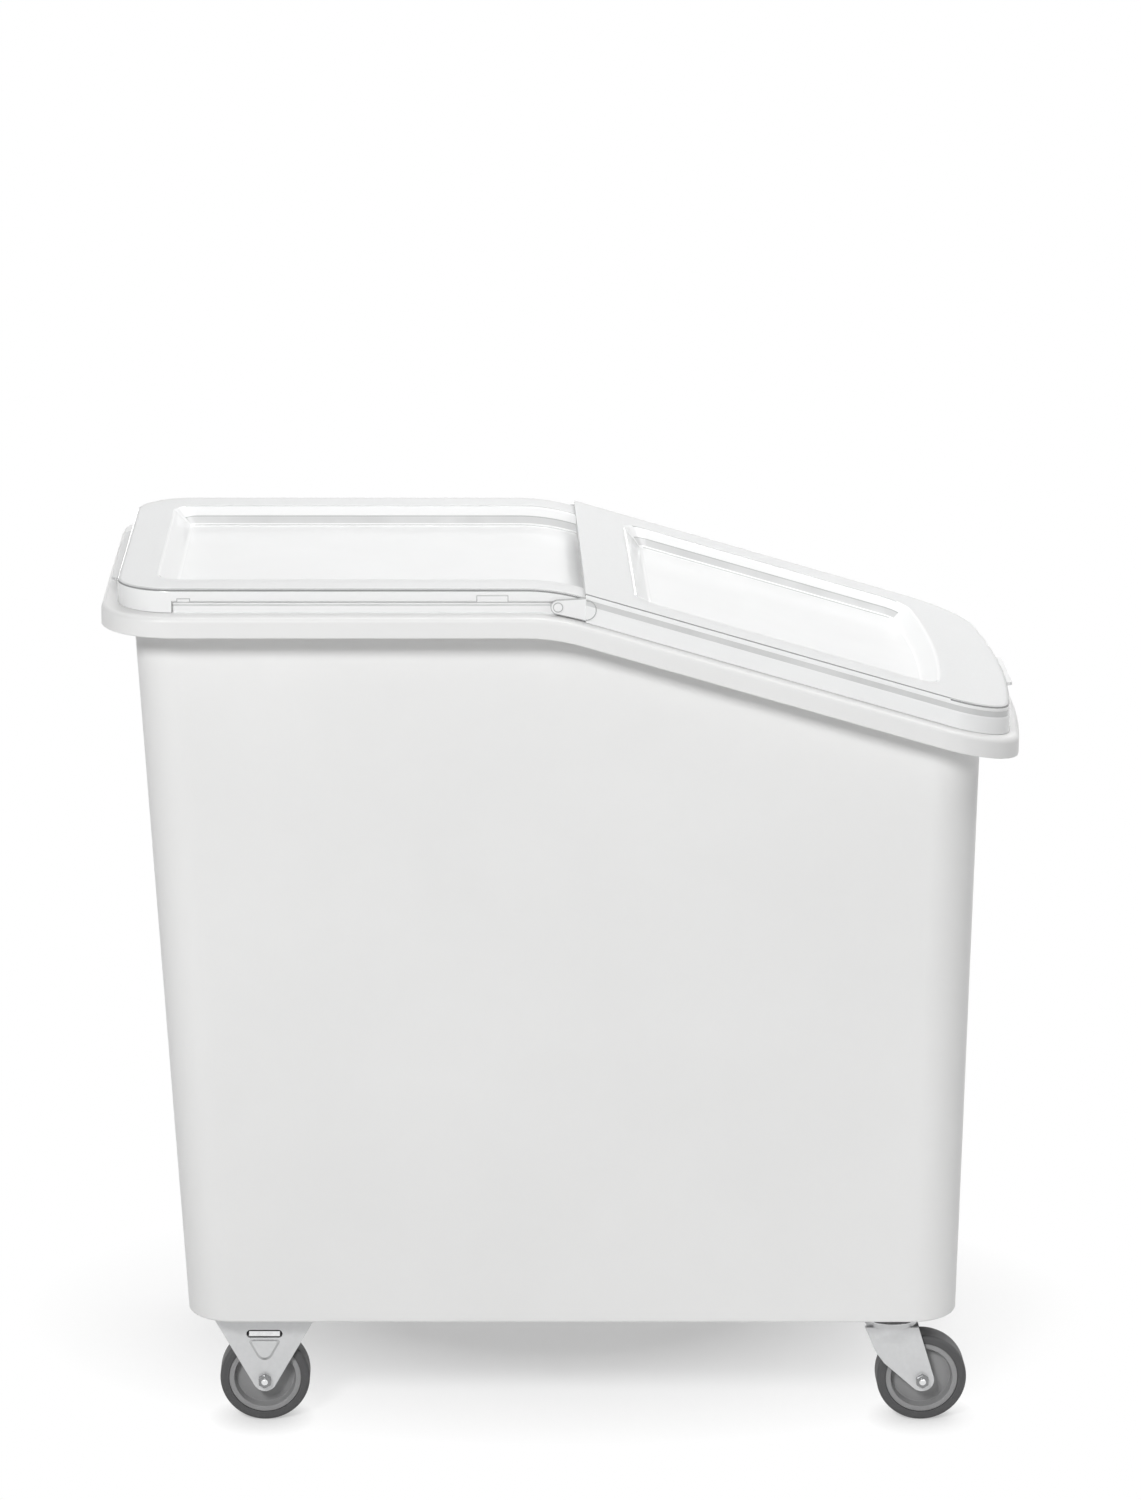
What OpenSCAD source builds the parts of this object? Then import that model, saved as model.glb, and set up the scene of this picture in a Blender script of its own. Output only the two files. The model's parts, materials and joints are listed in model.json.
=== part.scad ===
// Rolling flour bin: a moulded tub with a slant top, two clear lids and four casters.
// X runs from the tall rear end to the low front end, Y across and Z up from the floor.
// The right side is -Y. Sizes are in millimetres.

/* [Tub] */
// Length over the rim, to the middle of the bowed front edge
rim_l = 747.6; // [690:0.2:820]
// Width over the rim
rim_w = 395; // [370:1:430]
// Height of the rim's ledge above the floor, on the level rear part
rim_z = 704.4; // [640:0.2:760]
// Depth of the rim's turned-down edge
rim_h = 16.5; // [12:0.5:24]
// Thickness of the rim's ledge and edge
rim_t = 3.5; // [2.5:0.1:5]
// Rounding along the rim's top edge
rim_edge = 4; // [2:0.2:6]
// Plan radius of the rim's corners
rim_corner = 60; // [50:1:75]
// Plan radius of the bowed front edges
bow_r = 1050; // [700:10:2000]
// Slope of the front part of the rim, in degrees
slope = 16.25; // [12:0.25:20]
// Place of the bend between the level and the sloped part of the rim
bend_x = -11.8; // [-40:0.2:10]
// Radius of that bend
bend_r = 170; // [120:5:220]
// Overhang of the rim at the rear and the sides
rim_over = 25.5; // [23:0.5:30]
// Overhang of the rim at the front
front_over = 31.4; // [28:0.2:44]
// Height of the lip that stands up inside the lids
lip_h = 8.5; // [5:0.5:12]
// Thickness of the tub's walls
wall = 4; // [3:0.1:5]
// Thickness of the tub's floor
floor_t = 4.5; // [3.5:0.1:6]
// Plan radius of the tub's corners at the mouth
mouth_corner = 36; // [28:1:44]
// Plan radius of the tub's corners at the bottom
base_corner = 38; // [30:1:44]
// How far the rear wall leans in from mouth to bottom
rear_lean = 36.5; // [20:0.5:45]
// How far the front wall leans in
front_lean = 12.2; // [5:0.2:20]
// How far each side wall leans in
side_lean = 11.4; // [5:0.2:14]
// Rounding of the bottom edge, outside and inside
base_edge = 7; // [4:0.5:10]
// Depth of the hollow under the floor
foot_h = 11; // [8:0.5:13]
// Width of the foot round that hollow
foot_w = 13; // [11:0.5:18]
// How far the caster pads lie up in that hollow, so that the foot hides the plates
pad_in = 4; // [2:0.5:6]
// Thickness of the ribs under the floor
rib_t = 3; // [2:0.1:4]

/* [Lids] */
// Thickness of both lids
lid_t = 2.5; // [2:0.1:3]
// Height of the rear lid's top above the rim's ledge
lid_h = 19.6; // [18:0.2:24]
// Gap between the lids' skirts and the ledge
lid_gap = 0.4; // [0.3:0.1:0.8]
// Width over the rear lid
rear_lid_w = 356; // [352:1:362]
// Distance from the rim's rear edge to the rear lid
rear_in = 13; // [10:0.5:16]
// Distance from the rim's front edge to the front lid
front_in = 8.6; // [5:0.2:12]
// Plan radius of the lids' corners
lid_corner = 45; // [35:1:55]
// Rounding of the lids' top edges
lid_edge = 3.5; // [2:0.25:5]
// Depth of the sunken panels
recess_d = 14.5; // [8:0.5:15]
// Run of the sunken panels' slanted walls
recess_run = 14; // [6:0.5:18]
// Plan radius of the sunken panels' corners
recess_corner = 20; // [16:1:30]
// Width of the frosted bands along the sides
side_band = 35.5; // [30:0.5:45]
// Width of the rear lid's rear band
rear_band = 32.5; // [25:0.5:45]
// Width of the front lid's rear band
seam_band = 41; // [30:0.5:60]
// Width of the front lid's front band
front_band = 58; // [45:0.5:75]
// Place of the front lid's rear edge
seam_x = 13.2; // [9:0.2:17]
// Length of the rear lid under the front lid
tuck = 8; // [5:0.5:12]
// Rise of the front lid's top over the slope of the rear lid's
front_rise = 4; // [3.2:0.1:6]
// Clearance between the two lids' skirts
skirt_clear = 0.5; // [0.3:0.1:1]
// Diameter of the hinge pins
pin_d = 8; // [6:0.2:8.4]
// Place of the hinge pins
pin_x = -8.8; // [-13:0.2:-7]
// Height of the hinge pins above the ledge
pin_up = 5.2; // [4.8:0.1:6]
// Clearance round the hinge pins
pin_clear = 0.1; // [0.05:0.05:0.3]
// Width of the wall round the hinge pins
ear_wall = 2; // [1:0.1:2.6]
// Depth of the pins' track in the rear lid's skirt
track_d = 2.2; // [1.5:0.1:2.4]
// Length of the pins' track
track_l = 319; // [250:1:322]
// Length of the rear lid's finger lip
rear_lip_l = 180; // [100:5:220]
// Reach of the rear lid's finger lip
rear_lip_out = 7.5; // [5:0.5:9]
// Length of the front lid's finger tab
front_tab_l = 90; // [50:5:140]
// Reach of the front lid's finger tab
front_tab_out = 4; // [3:0.5:5]

/* [Casters] */
// Height of the casters, from the floor to the tops of their plates
caster_h = 101; // [99:0.5:114]
// Diameter of the wheels
wheel_d = 75; // [66:1:76]
// Width of the tyres
tyre_w = 24; // [20:0.5:25]
// Diameter of the wheel core that carries the tyre
core_d = 60.4; // [54:0.2:62]
// Width of the ring round the wheel core
ring_t = 3.7; // [2.5:0.1:5]
// Thickness of the wheel core's web
web_t = 5; // [4:0.2:8]
// Diameter of the wheel hub
hub_d = 18; // [14:0.5:24]
// Rounding of the tyre's shoulders
tyre_edge = 2.5; // [1:0.1:4]
// Distance of the casters from the middle, across the bin
caster_y = 122; // [100:1:126]
// Place of the fixed casters along the bin
fixed_x = -248.8; // [-260:0.2:-200]
// Place of the swivel casters along the bin
swivel_x = 273.8; // [220:0.2:280]
// Trail of the swivel casters
trail = 26.4; // [22:0.2:28]
// Length of the fixed casters' plates
fixed_plate_l = 88.5; // [80:0.5:92]
// Length of the swivel casters' plates
swivel_plate_l = 62; // [60:1:66]
// Width of all caster plates
plate_w = 56; // [55:0.5:58]
// Plan radius of the caster plates' corners
plate_r = 10; // [4:0.5:11]
// Thickness of the fork and plate sheet
sheet = 2.5; // [2:0.1:3]
// Space between the legs of a fork
fork_gap = 28; // [27:0.5:29]
// Radius of the legs' ends round the axle
leg_end_r = 10; // [8:0.5:12]
// Spacing of the fixed plates' screws along the bin
fixed_screw_dx = 54; // [50:1:56]
// Spacing of the swivel plates' screws along the bin
swivel_screw_dx = 46; // [46:0.5:48]
// Spacing of the plate screws across the bin
screw_dy = 45; // [44:0.5:46]
// Diameter of the plate screws
screw_d = 6; // [5:0.1:6]
// Diameter of the axle bolts
axle_d = 6; // [5:0.1:8]
// Wall of the sleeves on the axle bolts
sleeve_t = 1.4; // [1:0.1:2]
// Running clearance of the wheels on their sleeves
run_clear = 0.06; // [0.03:0.01:0.1]
// Diameter of the swivel heads
head_d = 48; // [46:0.5:52]
// Diameter of the balls in the upper row
upper_ball_d = 6; // [5:0.2:6.4]
// Diameter of the balls in the lower row
lower_ball_d = 4.4; // [3.6:0.2:5]
// Least space between the balls of a row
ball_space = 0.4; // [0.2:0.1:1.5]
// Clearance round the balls
ball_clear = 0.1; // [0.05:0.05:0.2]
// Diameter of the kingpins
kingpin_d = 12; // [9:0.5:13]

/* [Hidden] */
$fn = 64;
corner_steps = 7;
bow_steps = 3;
bend_steps = 8;
hull_fn = 32;
// Share of a rounding's radius that its middle stands in from the corner
soft = 1 - sqrt(0.5);
// How far fused pieces reach into each other
weld = 0.3;
// How far the lids' lofts run past the place where they are cut
run_out = 70;
// How far the ribs reach into the foot
rib_bite = 1;

rear_x = -rim_l / 2;
front_x = rim_l / 2;
tub_z = caster_h - pad_in;
floor_z = tub_z + foot_h + floor_t;
base_bow = 3 * bow_r;
bend_start = bend_x - bend_r * tan(slope / 2);
bend_end = bend_start + bend_r * sin(slope);
bend_stations = [for (i = [0:bend_steps]) bend_start + (bend_end - bend_start) * i / bend_steps];

// Plan outlines: rear x, front x in the middle, half width, rear corner, front corner, front bow
rim = [rear_x, front_x, rim_w / 2, rim_corner, rim_corner, bow_r];
mouth = [rear_x + rim_over, front_x - front_over, rim_w / 2 - rim_over, mouth_corner, mouth_corner, bow_r];
base = [mouth[0] + rear_lean, mouth[1] - front_lean, mouth[2] - side_lean, base_corner, base_corner, base_bow];

rear_half = rear_lid_w / 2;
front_half = rear_half + skirt_clear + lid_t;
lid_rear = rear_x + rear_in;
lid_front = front_x - front_in;
recess_inner = max(recess_corner - recess_run, 2);
rear_skirt = [lid_rear, seam_x + run_out, rear_half, lid_corner, lid_corner, bow_r];
rear_panel = [lid_rear + rear_band, seam_x + run_out, rear_half - side_band, recess_corner, recess_corner, bow_r];
front_skirt = [seam_x - run_out, lid_front, front_half, lid_corner, lid_corner, bow_r];
front_panel = [seam_x + seam_band, lid_front - front_band, front_half - side_band, recess_corner, recess_corner, bow_r];
front_stations = [front_panel[0] + lid_corner + recess_run, front_panel[1] - 2 * lid_corner];

pin_r = pin_d / 2;
pin_z = rim_z + pin_up;
track_top = pin_z + pin_r + pin_clear;
track_face = rear_half - track_d;
track_back_t = 2.4;
// How far the backing reaches past the track's rear end, its top and its front pin
track_back_over = [6, 3, 2];
// Detents: distance behind the pin, length and height
closed_detent = [62, 24, 1.2];
open_detent = [track_l - 22, 9.4, 2];
nose_swell = 0.7;
nose_r = lid_h / 2 + nose_swell;
nose_x = seam_x + tuck - nose_r;
panel_clear = 1;
// Run of an ear's arm over the front lid's skirt
ear_run = 4;
// Drop of the rear finger lip below the rounded top edge, and both lips' end rounding by their reach
lip_drop = 5;
lip_round = 0.45;

axle_z = wheel_d / 2;
bolt_clear = 0.1;
bolt_hole_r = axle_d / 2 + bolt_clear;
sleeve_r = bolt_hole_r + sleeve_t;
core_r = core_d / 2;
hub_clear = 0.3;
hub_w = fork_gap - 2 * hub_clear;
ring_step = 1;
ring_w = tyre_w - 2 * ring_step;
leg_out = fork_gap / 2 + sheet;
// Corner radius of hexagonal heads and nuts, as a share of their thread
hex_share = 0.96;
nut_t = 5;
nut_r = hex_share * axle_d;
bolt_head_t = 4;
bolt_end = 1.5;
plate_z = caster_h - sheet;
// Slot and pressed louvre in each leg of the fixed forks
slot_l = 30;
slot_h = 7;
slot_share = 0.672;
slot_z = axle_z + slot_share * (plate_z - axle_z);
louvre_rise = 2;
louvre_gap = 1;
louvre_slant = 4;
louvre_point = 4;
louvre_above = 7;
// Swivel fork's legs: step in from the head and height of the knee over the axle
leg_in = 1.5;
knee_h = 20;
// Swivel head, from the plate downwards
race_t = 2;
race_rim = 1;
// Dust ring of the plate round the fork's crown: wall, clearance and reach below the crown's top
dust_t = 1.4;
dust_clear = 0.6;
dust_over = 3.4;
seat_d = 0.8;
upper_r = upper_ball_d / 2;
lower_r = lower_ball_d / 2;
race_z = plate_z - race_t;
upper_drop = upper_r + ball_clear - seat_d;
upper_z = race_z - upper_drop;
crown_z = upper_z - upper_drop;
crown_t = 3;
lower_drop = lower_r + ball_clear - seat_d;
lower_z = crown_z - crown_t - lower_drop;
cup_z = lower_z - lower_drop;
cup_t = 3;
cup_clear = 0.6;
cup_r = fork_gap / 2 - cup_clear;
rivet_t = 2;
rivet_over = 3;
upper_pitch = head_d / 2 - upper_ball_d - race_rim;
lower_pitch = (kingpin_d / 2 + cup_r) / 2;
kingpin_clear = 0.3;
crown_h = 8;
crown_r = head_d / 2 - dust_t - dust_clear;
shoulder_z = crown_z - crown_h;
screw_head_t = 4;
screw_clear = 0.2;
insert_l = foot_h - pad_in + 1;
insert_t = 1.2;
insert_clear = 0.05;
insert_r = screw_d / 2 + insert_clear + insert_t;
// How far the screws end below the inserts' tops
screw_short = 1;
// Clearance of the caster plates in their pockets
plate_clear = 0.8;

fixed_casters = [["rear_left", fixed_x, 1], ["rear_right", fixed_x, -1]];
swivel_casters = [["front_left", swivel_x, 1], ["front_right", swivel_x, -1]];
fixed_pieces = ["fork", "sleeve", "bolt", "nut", "core", "tyre"];
swivel_pieces = concat(["plate", "kingpin", "upper_balls", "lower_balls", "cup"], fixed_pieces);

plastic_white = [0.93, 0.93, 0.92];
clear_lid = [0.86, 0.9, 0.92, 0.4];
zinc = [0.78, 0.79, 0.8];
bright_steel = [0.85, 0.86, 0.87];
brass = [0.8, 0.65, 0.3];
core_grey = [0.5, 0.51, 0.52];
tyre_grey = [0.22, 0.22, 0.23];

// Height lost along the bent rim line
function drop(x) =
    x < bend_start ? 0
    : x < bend_end ? bend_r - sqrt(bend_r * bend_r - (x - bend_start) * (x - bend_start))
    : (x - bend_x) * tan(slope);
function rim_line(x) = rim_z - drop(x);
function rear_line(x) = rim_line(x) + lid_h;
function front_line(x) = rim_z + lid_h + front_rise - (x - bend_x) * tan(slope);

// Heights for the rings of a loft
function level(z) = function (x) z;
function over_rim(d) = function (x) rim_line(x) + d;
function over_front(d) = function (x) front_line(x) + d;
function over_slope(d) = function (x) rim_z - (x - bend_x) * tan(slope) + d;

function inset(o, d) = [o[0] + d, o[1] - d, o[2] - d, max(o[3] - d, 2), max(o[4] - d, 2), o[5] - d];

// Right half of an outline, from the rear to the front, with points at the given side stations
function half_plan(o, stations) =
    let (
        h = o[2],
        rr = o[3],
        rf = o[4],
        rb = o[5],
        a = asin((h - rf) / (rb - rf)),
        cx = o[1] - rb + (rb - rf) * cos(a)
    )
    concat(
        [for (i = [0:corner_steps]) let (t = 180 + 90 * i / corner_steps)
            [o[0] + rr + rr * cos(t), rr - h + rr * sin(t)]],
        [for (x = stations) [x, -h]],
        [for (i = [0:corner_steps]) let (t = -90 + (90 - a) * i / corner_steps)
            [cx + rf * cos(t), rf - h + rf * sin(t)]],
        [for (i = [1:bow_steps]) let (t = a * i / (bow_steps + 0.5) - a)
            [o[1] - rb + rb * cos(t), rb * sin(t)]]
    );

function ring(o, z, stations = bend_stations) =
    let (half = half_plan(o, stations), last = len(half) - 1)
    concat(
        [for (p = half) [p.x, p.y, z(p.x)]],
        [for (i = [last:-1:0]) [half[i].x, -half[i].y, z(half[i].x)]]
    );

// Skin over rings of equal count, closed across its first and last ring
module loft(rings) {
    n = len(rings[0]);
    last = len(rings) - 1;
    sides = [for (k = [0:last - 1], i = [0:n - 1])
        let (j = (i + 1) % n, a = k * n, b = a + n)
        each [[a + i, b + i, b + j], [a + i, b + j, a + j]]];
    first_cap = [for (i = [0:n / 2 - 2]) [i, i + 1, n - 2 - i, n - 1 - i]];
    last_cap = [for (f = first_cap) [for (i = [3:-1:0]) last * n + f[i]]];
    polyhedron([for (r = rings) each r], concat(first_cap, sides, last_cap));
}

// Sheet standing across Y, drawn in X and Z, from y0 outwards
module upright(y0, t) {
    translate([0, y0 + t, 0]) rotate([90, 0, 0]) linear_extrude(t) children();
}

module across(w) {
    upright(-w / 2, w) children();
}

module both_sides() {
    children();
    mirror([0, 1, 0]) children();
}

module rounded_rect(l, w, r) {
    square([l - 2 * r, w], center = true);
    square([l, w - 2 * r], center = true);
    for (x = [-1, 1], y = [-1, 1])
        translate([x * (l / 2 - r), y * (w / 2 - r)]) circle(r);
}

// Rounding from the first inset to the second, seen as two rings
function rounded_edge(o, r, z, up, stations = bend_stations) = [
    ring(o, function (x) z(x) - up * r, stations),
    ring(inset(o, r * soft), function (x) z(x) - up * r * soft, stations),
    ring(inset(o, r), z, stations)
];

function reversed(list) = [for (i = [len(list) - 1:-1:0]) list[i]];

// Outside of the tub's bottom, from the foot up to the wall
function base_rings() = reversed(rounded_edge(base, base_edge, level(tub_z), -1));

module tub_body() {
    loft(concat(
        [ring(inset(base, foot_w + 1), level(tub_z + foot_h)), ring(inset(base, foot_w), level(tub_z))],
        base_rings(),
        [ring(mouth, over_rim(-rim_t)), ring(inset(rim, rim_t), over_rim(-rim_t))],
        [ring(inset(rim, rim_t), over_rim(-rim_h)), ring(rim, over_rim(-rim_h))],
        rounded_edge(rim, rim_edge, over_rim(0), 1),
        [ring(mouth, over_rim(0)), ring(mouth, over_rim(lip_h))],
        [ring(inset(mouth, wall), over_rim(lip_h))],
        rounded_edge(inset(base, wall), base_edge, level(floor_z), -1)
    ));
}

module caster_pads() {
    intersection() {
        for (c = concat(fixed_casters, swivel_casters))
            translate([c[1], c[2] * caster_y, caster_h])
                linear_extrude(foot_h - pad_in + weld)
                    rounded_rect(plate_length(c), plate_w, plate_r);
        loft(concat(base_rings(), [ring(base, level(floor_z))]));
    }
}

// Room for the caster plates, cut up into the foot
module plate_pockets() {
    for (c = concat(fixed_casters, swivel_casters))
        translate([c[1], c[2] * caster_y, tub_z - weld])
            linear_extrude(pad_in + weld)
                offset(plate_clear) rounded_rect(plate_length(c), plate_w, plate_r);
}

function plate_length(c) = c[1] == fixed_x ? fixed_plate_l : swivel_plate_l;
function screw_spacing(c) = c[1] == fixed_x ? fixed_screw_dx : swivel_screw_dx;

module floor_ribs() {
    rib_z = tub_z + base_edge / 2;
    rib_h = tub_z + foot_h + weld - rib_z;
    long = base[1] - base[0] - 2 * (foot_w - rib_bite);
    wide = 2 * (base[2] - foot_w + rib_bite);
    rib_y = caster_y - plate_w / 2 - foot_w;
    for (y = [-rib_y, 0, rib_y])
        translate([base[0] + foot_w - rib_bite, y - rib_t / 2, rib_z]) cube([long, rib_t, rib_h]);
    for (i = [1:3])
        translate([base[0] + foot_w + long * i / 4, -wide / 2, rib_z]) cube([rib_t, wide, rib_h]);
}

module bin_tub() {
    color(plastic_white) difference() {
        union() {
            tub_body();
            caster_pads();
            floor_ribs();
        }
        plate_pockets();
        screw_places() translate([0, 0, caster_h - weld])
            cylinder(h = insert_l + weld, r = insert_r + insert_clear);
    }
}

module screw_places() {
    for (c = concat(fixed_casters, swivel_casters), x = [-1, 1], y = [-1, 1])
        translate([c[1] + x * screw_spacing(c) / 2, c[2] * caster_y + y * screw_dy / 2, 0]) children();
}

// Shell of a lid: skirt, rounded top edge, bands and a sunken panel
module lid_shell(skirt, panel, ledge, top, stations) {
    under = inset(panel, -lid_t * 0.6);
    loft(concat(
        [ring(inset(under, recess_run), function (x) top(x) - recess_d - lid_t, stations)],
        [ring(under, function (x) top(x) - lid_t, stations)],
        [ring(inset(skirt, lid_t), function (x) top(x) - lid_t, stations)],
        [ring(inset(skirt, lid_t), function (x) ledge(x) + lid_gap, stations)],
        [ring(skirt, function (x) ledge(x) + lid_gap, stations)],
        rounded_edge(skirt, lid_edge, top, 1, stations),
        [ring(panel, top, stations)],
        [ring(inset(panel, recess_run), function (x) top(x) - recess_d, stations)]
    ));
}

// Side view of the rear lid's part that is kept: it ends in a round nose
module rear_lid_side() {
    tall = 6 * lid_h;
    translate([2 * rear_x, rim_z - tall / 2]) square([nose_x - 2 * rear_x, tall]);
    translate([nose_x, rim_line(nose_x) + lid_h / 2]) circle(nose_r);
}

module track() {
    rear_end = pin_x - track_l;
    below = 3 * lid_h;
    translate([rear_end, track_top - below]) square([track_l, below]);
    translate([pin_x, pin_z]) circle(pin_r + pin_clear);
}

module track_backing() {
    z0 = rim_z + lid_gap;
    over = track_back_over;
    translate([pin_x - track_l - over[0], track_face - track_back_t, z0])
        cube([track_l + over[0] + pin_r + over[2], track_back_t, track_top + over[1] - z0]);
}

// Bumps under the track that hold the front lid shut, and open
module detents() {
    for (d = [closed_detent, open_detent])
        translate([pin_x - d[0], track_face - weld, track_top - d[2]])
            cube([d[1], track_d - weld, d[2] + weld]);
}

module rear_finger_lip() {
    lip_z = rim_z + lid_h - lid_edge - lid_t - lip_drop;
    reach = rear_lip_out + lid_t / 2;
    translate([lid_rear + lid_t / 2 - reach / 2, 0, lip_z])
        linear_extrude(lid_t) rounded_rect(reach, rear_lip_l, lip_round * reach);
}

module rear_lid() {
    color(clear_lid) {
        difference() {
            union() {
                intersection() {
                    lid_shell(rear_skirt, rear_panel, over_rim(0), over_rim(lid_h), bend_stations);
                    across(2 * rim_w) rear_lid_side();
                }
                both_sides() track_backing();
            }
            both_sides() upright(track_face, track_d + 1) track();
        }
        both_sides() detents();
        rear_finger_lip();
    }
}

// Side view of an ear: a boss round the pin and an arm to the front lid's skirt
module ear_side() {
    arm_x = seam_x + ear_run;
    boss_r = pin_r + ear_wall;
    translate([pin_x, pin_z]) circle(boss_r);
    polygon([
        [pin_x, pin_z + boss_r],
        [arm_x, front_line(arm_x) - lid_edge],
        [arm_x, rim_line(arm_x) + 2 * lid_gap],
        [pin_x, pin_z - boss_r]
    ]);
}

module hinge_pin() {
    tip_clear = 0.2;
    reach = track_d + skirt_clear - tip_clear + weld;
    translate([pin_x, track_face + tip_clear, pin_z]) rotate([-90, 0, 0]) cylinder(h = reach, r = pin_r);
}

// Turned-down edge that closes the open end of the rear lid's panel
module seam_lip() {
    half = rear_panel[2] - recess_run - panel_clear;
    z0 = rear_line(seam_x) - recess_d + panel_clear;
    z1 = front_line(seam_x + lid_t) - lid_t / 2;
    translate([seam_x, -half, z0]) cube([lid_t, 2 * half, z1 - z0]);
}

module front_finger_tab() {
    reach = front_tab_out + lid_t;
    tab_z = front_line(lid_front) - lid_edge - lid_t;
    translate([lid_front + front_tab_out - reach / 2, 0, tab_z])
        linear_extrude(lid_t) rounded_rect(reach, front_tab_l, lip_round * reach);
}

module front_lid() {
    color(clear_lid) {
        intersection() {
            lid_shell(front_skirt, front_panel, over_slope(0), over_front(0), front_stations);
            translate([seam_x, -rim_w, 0]) cube([rim_l, 2 * rim_w, 2 * rim_z]);
        }
        both_sides() {
            upright(front_half - lid_t, lid_t) ear_side();
            hinge_pin();
        }
        seam_lip();
        front_finger_tab();
    }
}

module caster_inserts() {
    color(brass) screw_places() translate([0, 0, caster_h]) difference() {
        cylinder(h = insert_l, r = insert_r);
        translate([0, 0, -weld]) cylinder(h = insert_l + 2 * weld, r = screw_d / 2 + insert_clear);
    }
}

module caster_screws() {
    color(bright_steel) screw_places() {
        translate([0, 0, plate_z - screw_head_t]) cylinder(h = screw_head_t, r = hex_share * screw_d, $fn = 6);
        translate([0, 0, plate_z - weld]) cylinder(h = sheet + insert_l - screw_short + weld, r = screw_d / 2);
    }
}

// Puts a caster's piece in its place, with the nut on the outer side
module at_caster(c) {
    translate([c[1], c[2] * caster_y, 0])
        if (c[2] < 0) mirror([0, 1, 0]) children();
        else children();
}

module about_axle(x) {
    translate([x, 0, axle_z]) rotate([90, 0, 0]) children();
}

module axle_hole(x) {
    translate([x, axle_z]) circle(bolt_hole_r);
}

module plate_with_holes(l, dx) {
    linear_extrude(sheet) difference() {
        rounded_rect(l, plate_w, plate_r);
        for (x = [-1, 1], y = [-1, 1])
            translate([x * dx / 2, y * screw_dy / 2]) circle(screw_d / 2 + screw_clear);
    }
}

module fixed_leg() {
    difference() {
        hull() {
            translate([-fixed_plate_l / 2, plate_z - sheet]) square([fixed_plate_l, sheet + weld]);
            translate([0, axle_z]) circle(leg_end_r, $fn = hull_fn);
        }
        axle_hole(0);
        translate([0, slot_z]) {
            square([slot_l - slot_h, slot_h], center = true);
            for (x = [-1, 1]) translate([x * (slot_l - slot_h) / 2, 0]) circle(slot_h / 2);
        }
    }
}

// Pressed wedge under a leg's slot: proud at the slot and fading out towards the axle
module louvre() {
    top_z = slot_z - slot_h / 2 - louvre_gap;
    point_z = axle_z + leg_end_r + louvre_above;
    half = (slot_l + louvre_point) / 2;
    crest_z = top_z - louvre_gap;
    crest = half - louvre_slant;
    hull() {
        upright(leg_out - weld, weld)
            polygon([[-half, top_z], [half, top_z], [louvre_point / 2, point_z], [-louvre_point / 2, point_z]]);
        upright(leg_out - weld, weld + louvre_rise)
            polygon([[-crest, crest_z], [crest, crest_z], [0, crest_z - louvre_slant]]);
    }
}

module fixed_fork() {
    color(zinc) {
        translate([0, 0, plate_z]) plate_with_holes(fixed_plate_l, fixed_screw_dx);
        both_sides() {
            upright(fork_gap / 2, sheet) fixed_leg();
            louvre();
        }
    }
}

// Groove that a row of balls runs in
module race(pitch, z, ball_r) {
    translate([0, 0, z]) rotate_extrude() translate([pitch, 0]) circle(ball_r + ball_clear);
}

module swivel_plate() {
    color(zinc) difference() {
        union() {
            translate([0, 0, plate_z]) plate_with_holes(swivel_plate_l, swivel_screw_dx);
            translate([0, 0, crown_z - dust_over])
                cylinder(h = plate_z - crown_z + dust_over + weld, r = head_d / 2);
        }
        translate([0, 0, crown_z - dust_over - weld])
            cylinder(h = race_z - crown_z + dust_over + weld, r = crown_r + dust_clear);
        race(upper_pitch, upper_z, upper_r);
        translate([0, 0, race_z - weld]) cylinder(h = caster_h, r = kingpin_d / 2);
    }
}

module kingpin() {
    foot_z = cup_z - cup_t - rivet_t;
    color(bright_steel) {
        translate([0, 0, foot_z]) cylinder(h = caster_h - foot_z, r = kingpin_d / 2);
        translate([0, 0, foot_z])
            cylinder(h = rivet_t, r1 = (kingpin_d + rivet_over) / 2, r2 = kingpin_d / 2 + rivet_over);
    }
}

module ball_row(pitch, z, ball_r) {
    count = floor(180 / asin((ball_r + ball_space / 2) / pitch));
    color(bright_steel) for (i = [1:count])
        rotate([0, 0, 360 * i / count]) translate([pitch, 0, z]) sphere(ball_r);
}

module lower_cup() {
    color(zinc) difference() {
        translate([0, 0, cup_z - cup_t]) cylinder(h = cup_t, r = cup_r);
        race(lower_pitch, lower_z, lower_r);
        translate([0, 0, cup_z - cup_t - weld]) cylinder(h = 2 * cup_t, r = kingpin_d / 2);
    }
}

module swivel_leg() {
    half = head_d / 2 - leg_in;
    knee_z = axle_z + knee_h;
    difference() {
        hull() {
            translate([-half, shoulder_z - 1]) square([2 * half, 1]);
            translate([-half / 2, knee_z]) square([half, 1]);
            translate([trail, axle_z]) circle(leg_end_r, $fn = hull_fn);
        }
        axle_hole(trail);
    }
}

module swivel_fork() {
    neck = sqrt(crown_r * crown_r - leg_out * leg_out) - 1;
    color(zinc) {
        difference() {
            translate([0, 0, shoulder_z]) cylinder(h = crown_z - shoulder_z, r = crown_r);
            translate([0, 0, shoulder_z - weld])
                cylinder(h = crown_z - crown_t - shoulder_z + weld, r = crown_r - sheet);
            race(upper_pitch, upper_z, upper_r);
            race(lower_pitch, lower_z, lower_r);
            translate([0, 0, shoulder_z]) cylinder(h = crown_z, r = kingpin_d / 2 + kingpin_clear);
        }
        both_sides() {
            upright(fork_gap / 2, sheet) swivel_leg();
            translate([-neck, fork_gap / 2, shoulder_z - weld])
                cube([2 * neck, sheet, crown_z - crown_t - shoulder_z + 2 * weld]);
        }
    }
}

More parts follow.
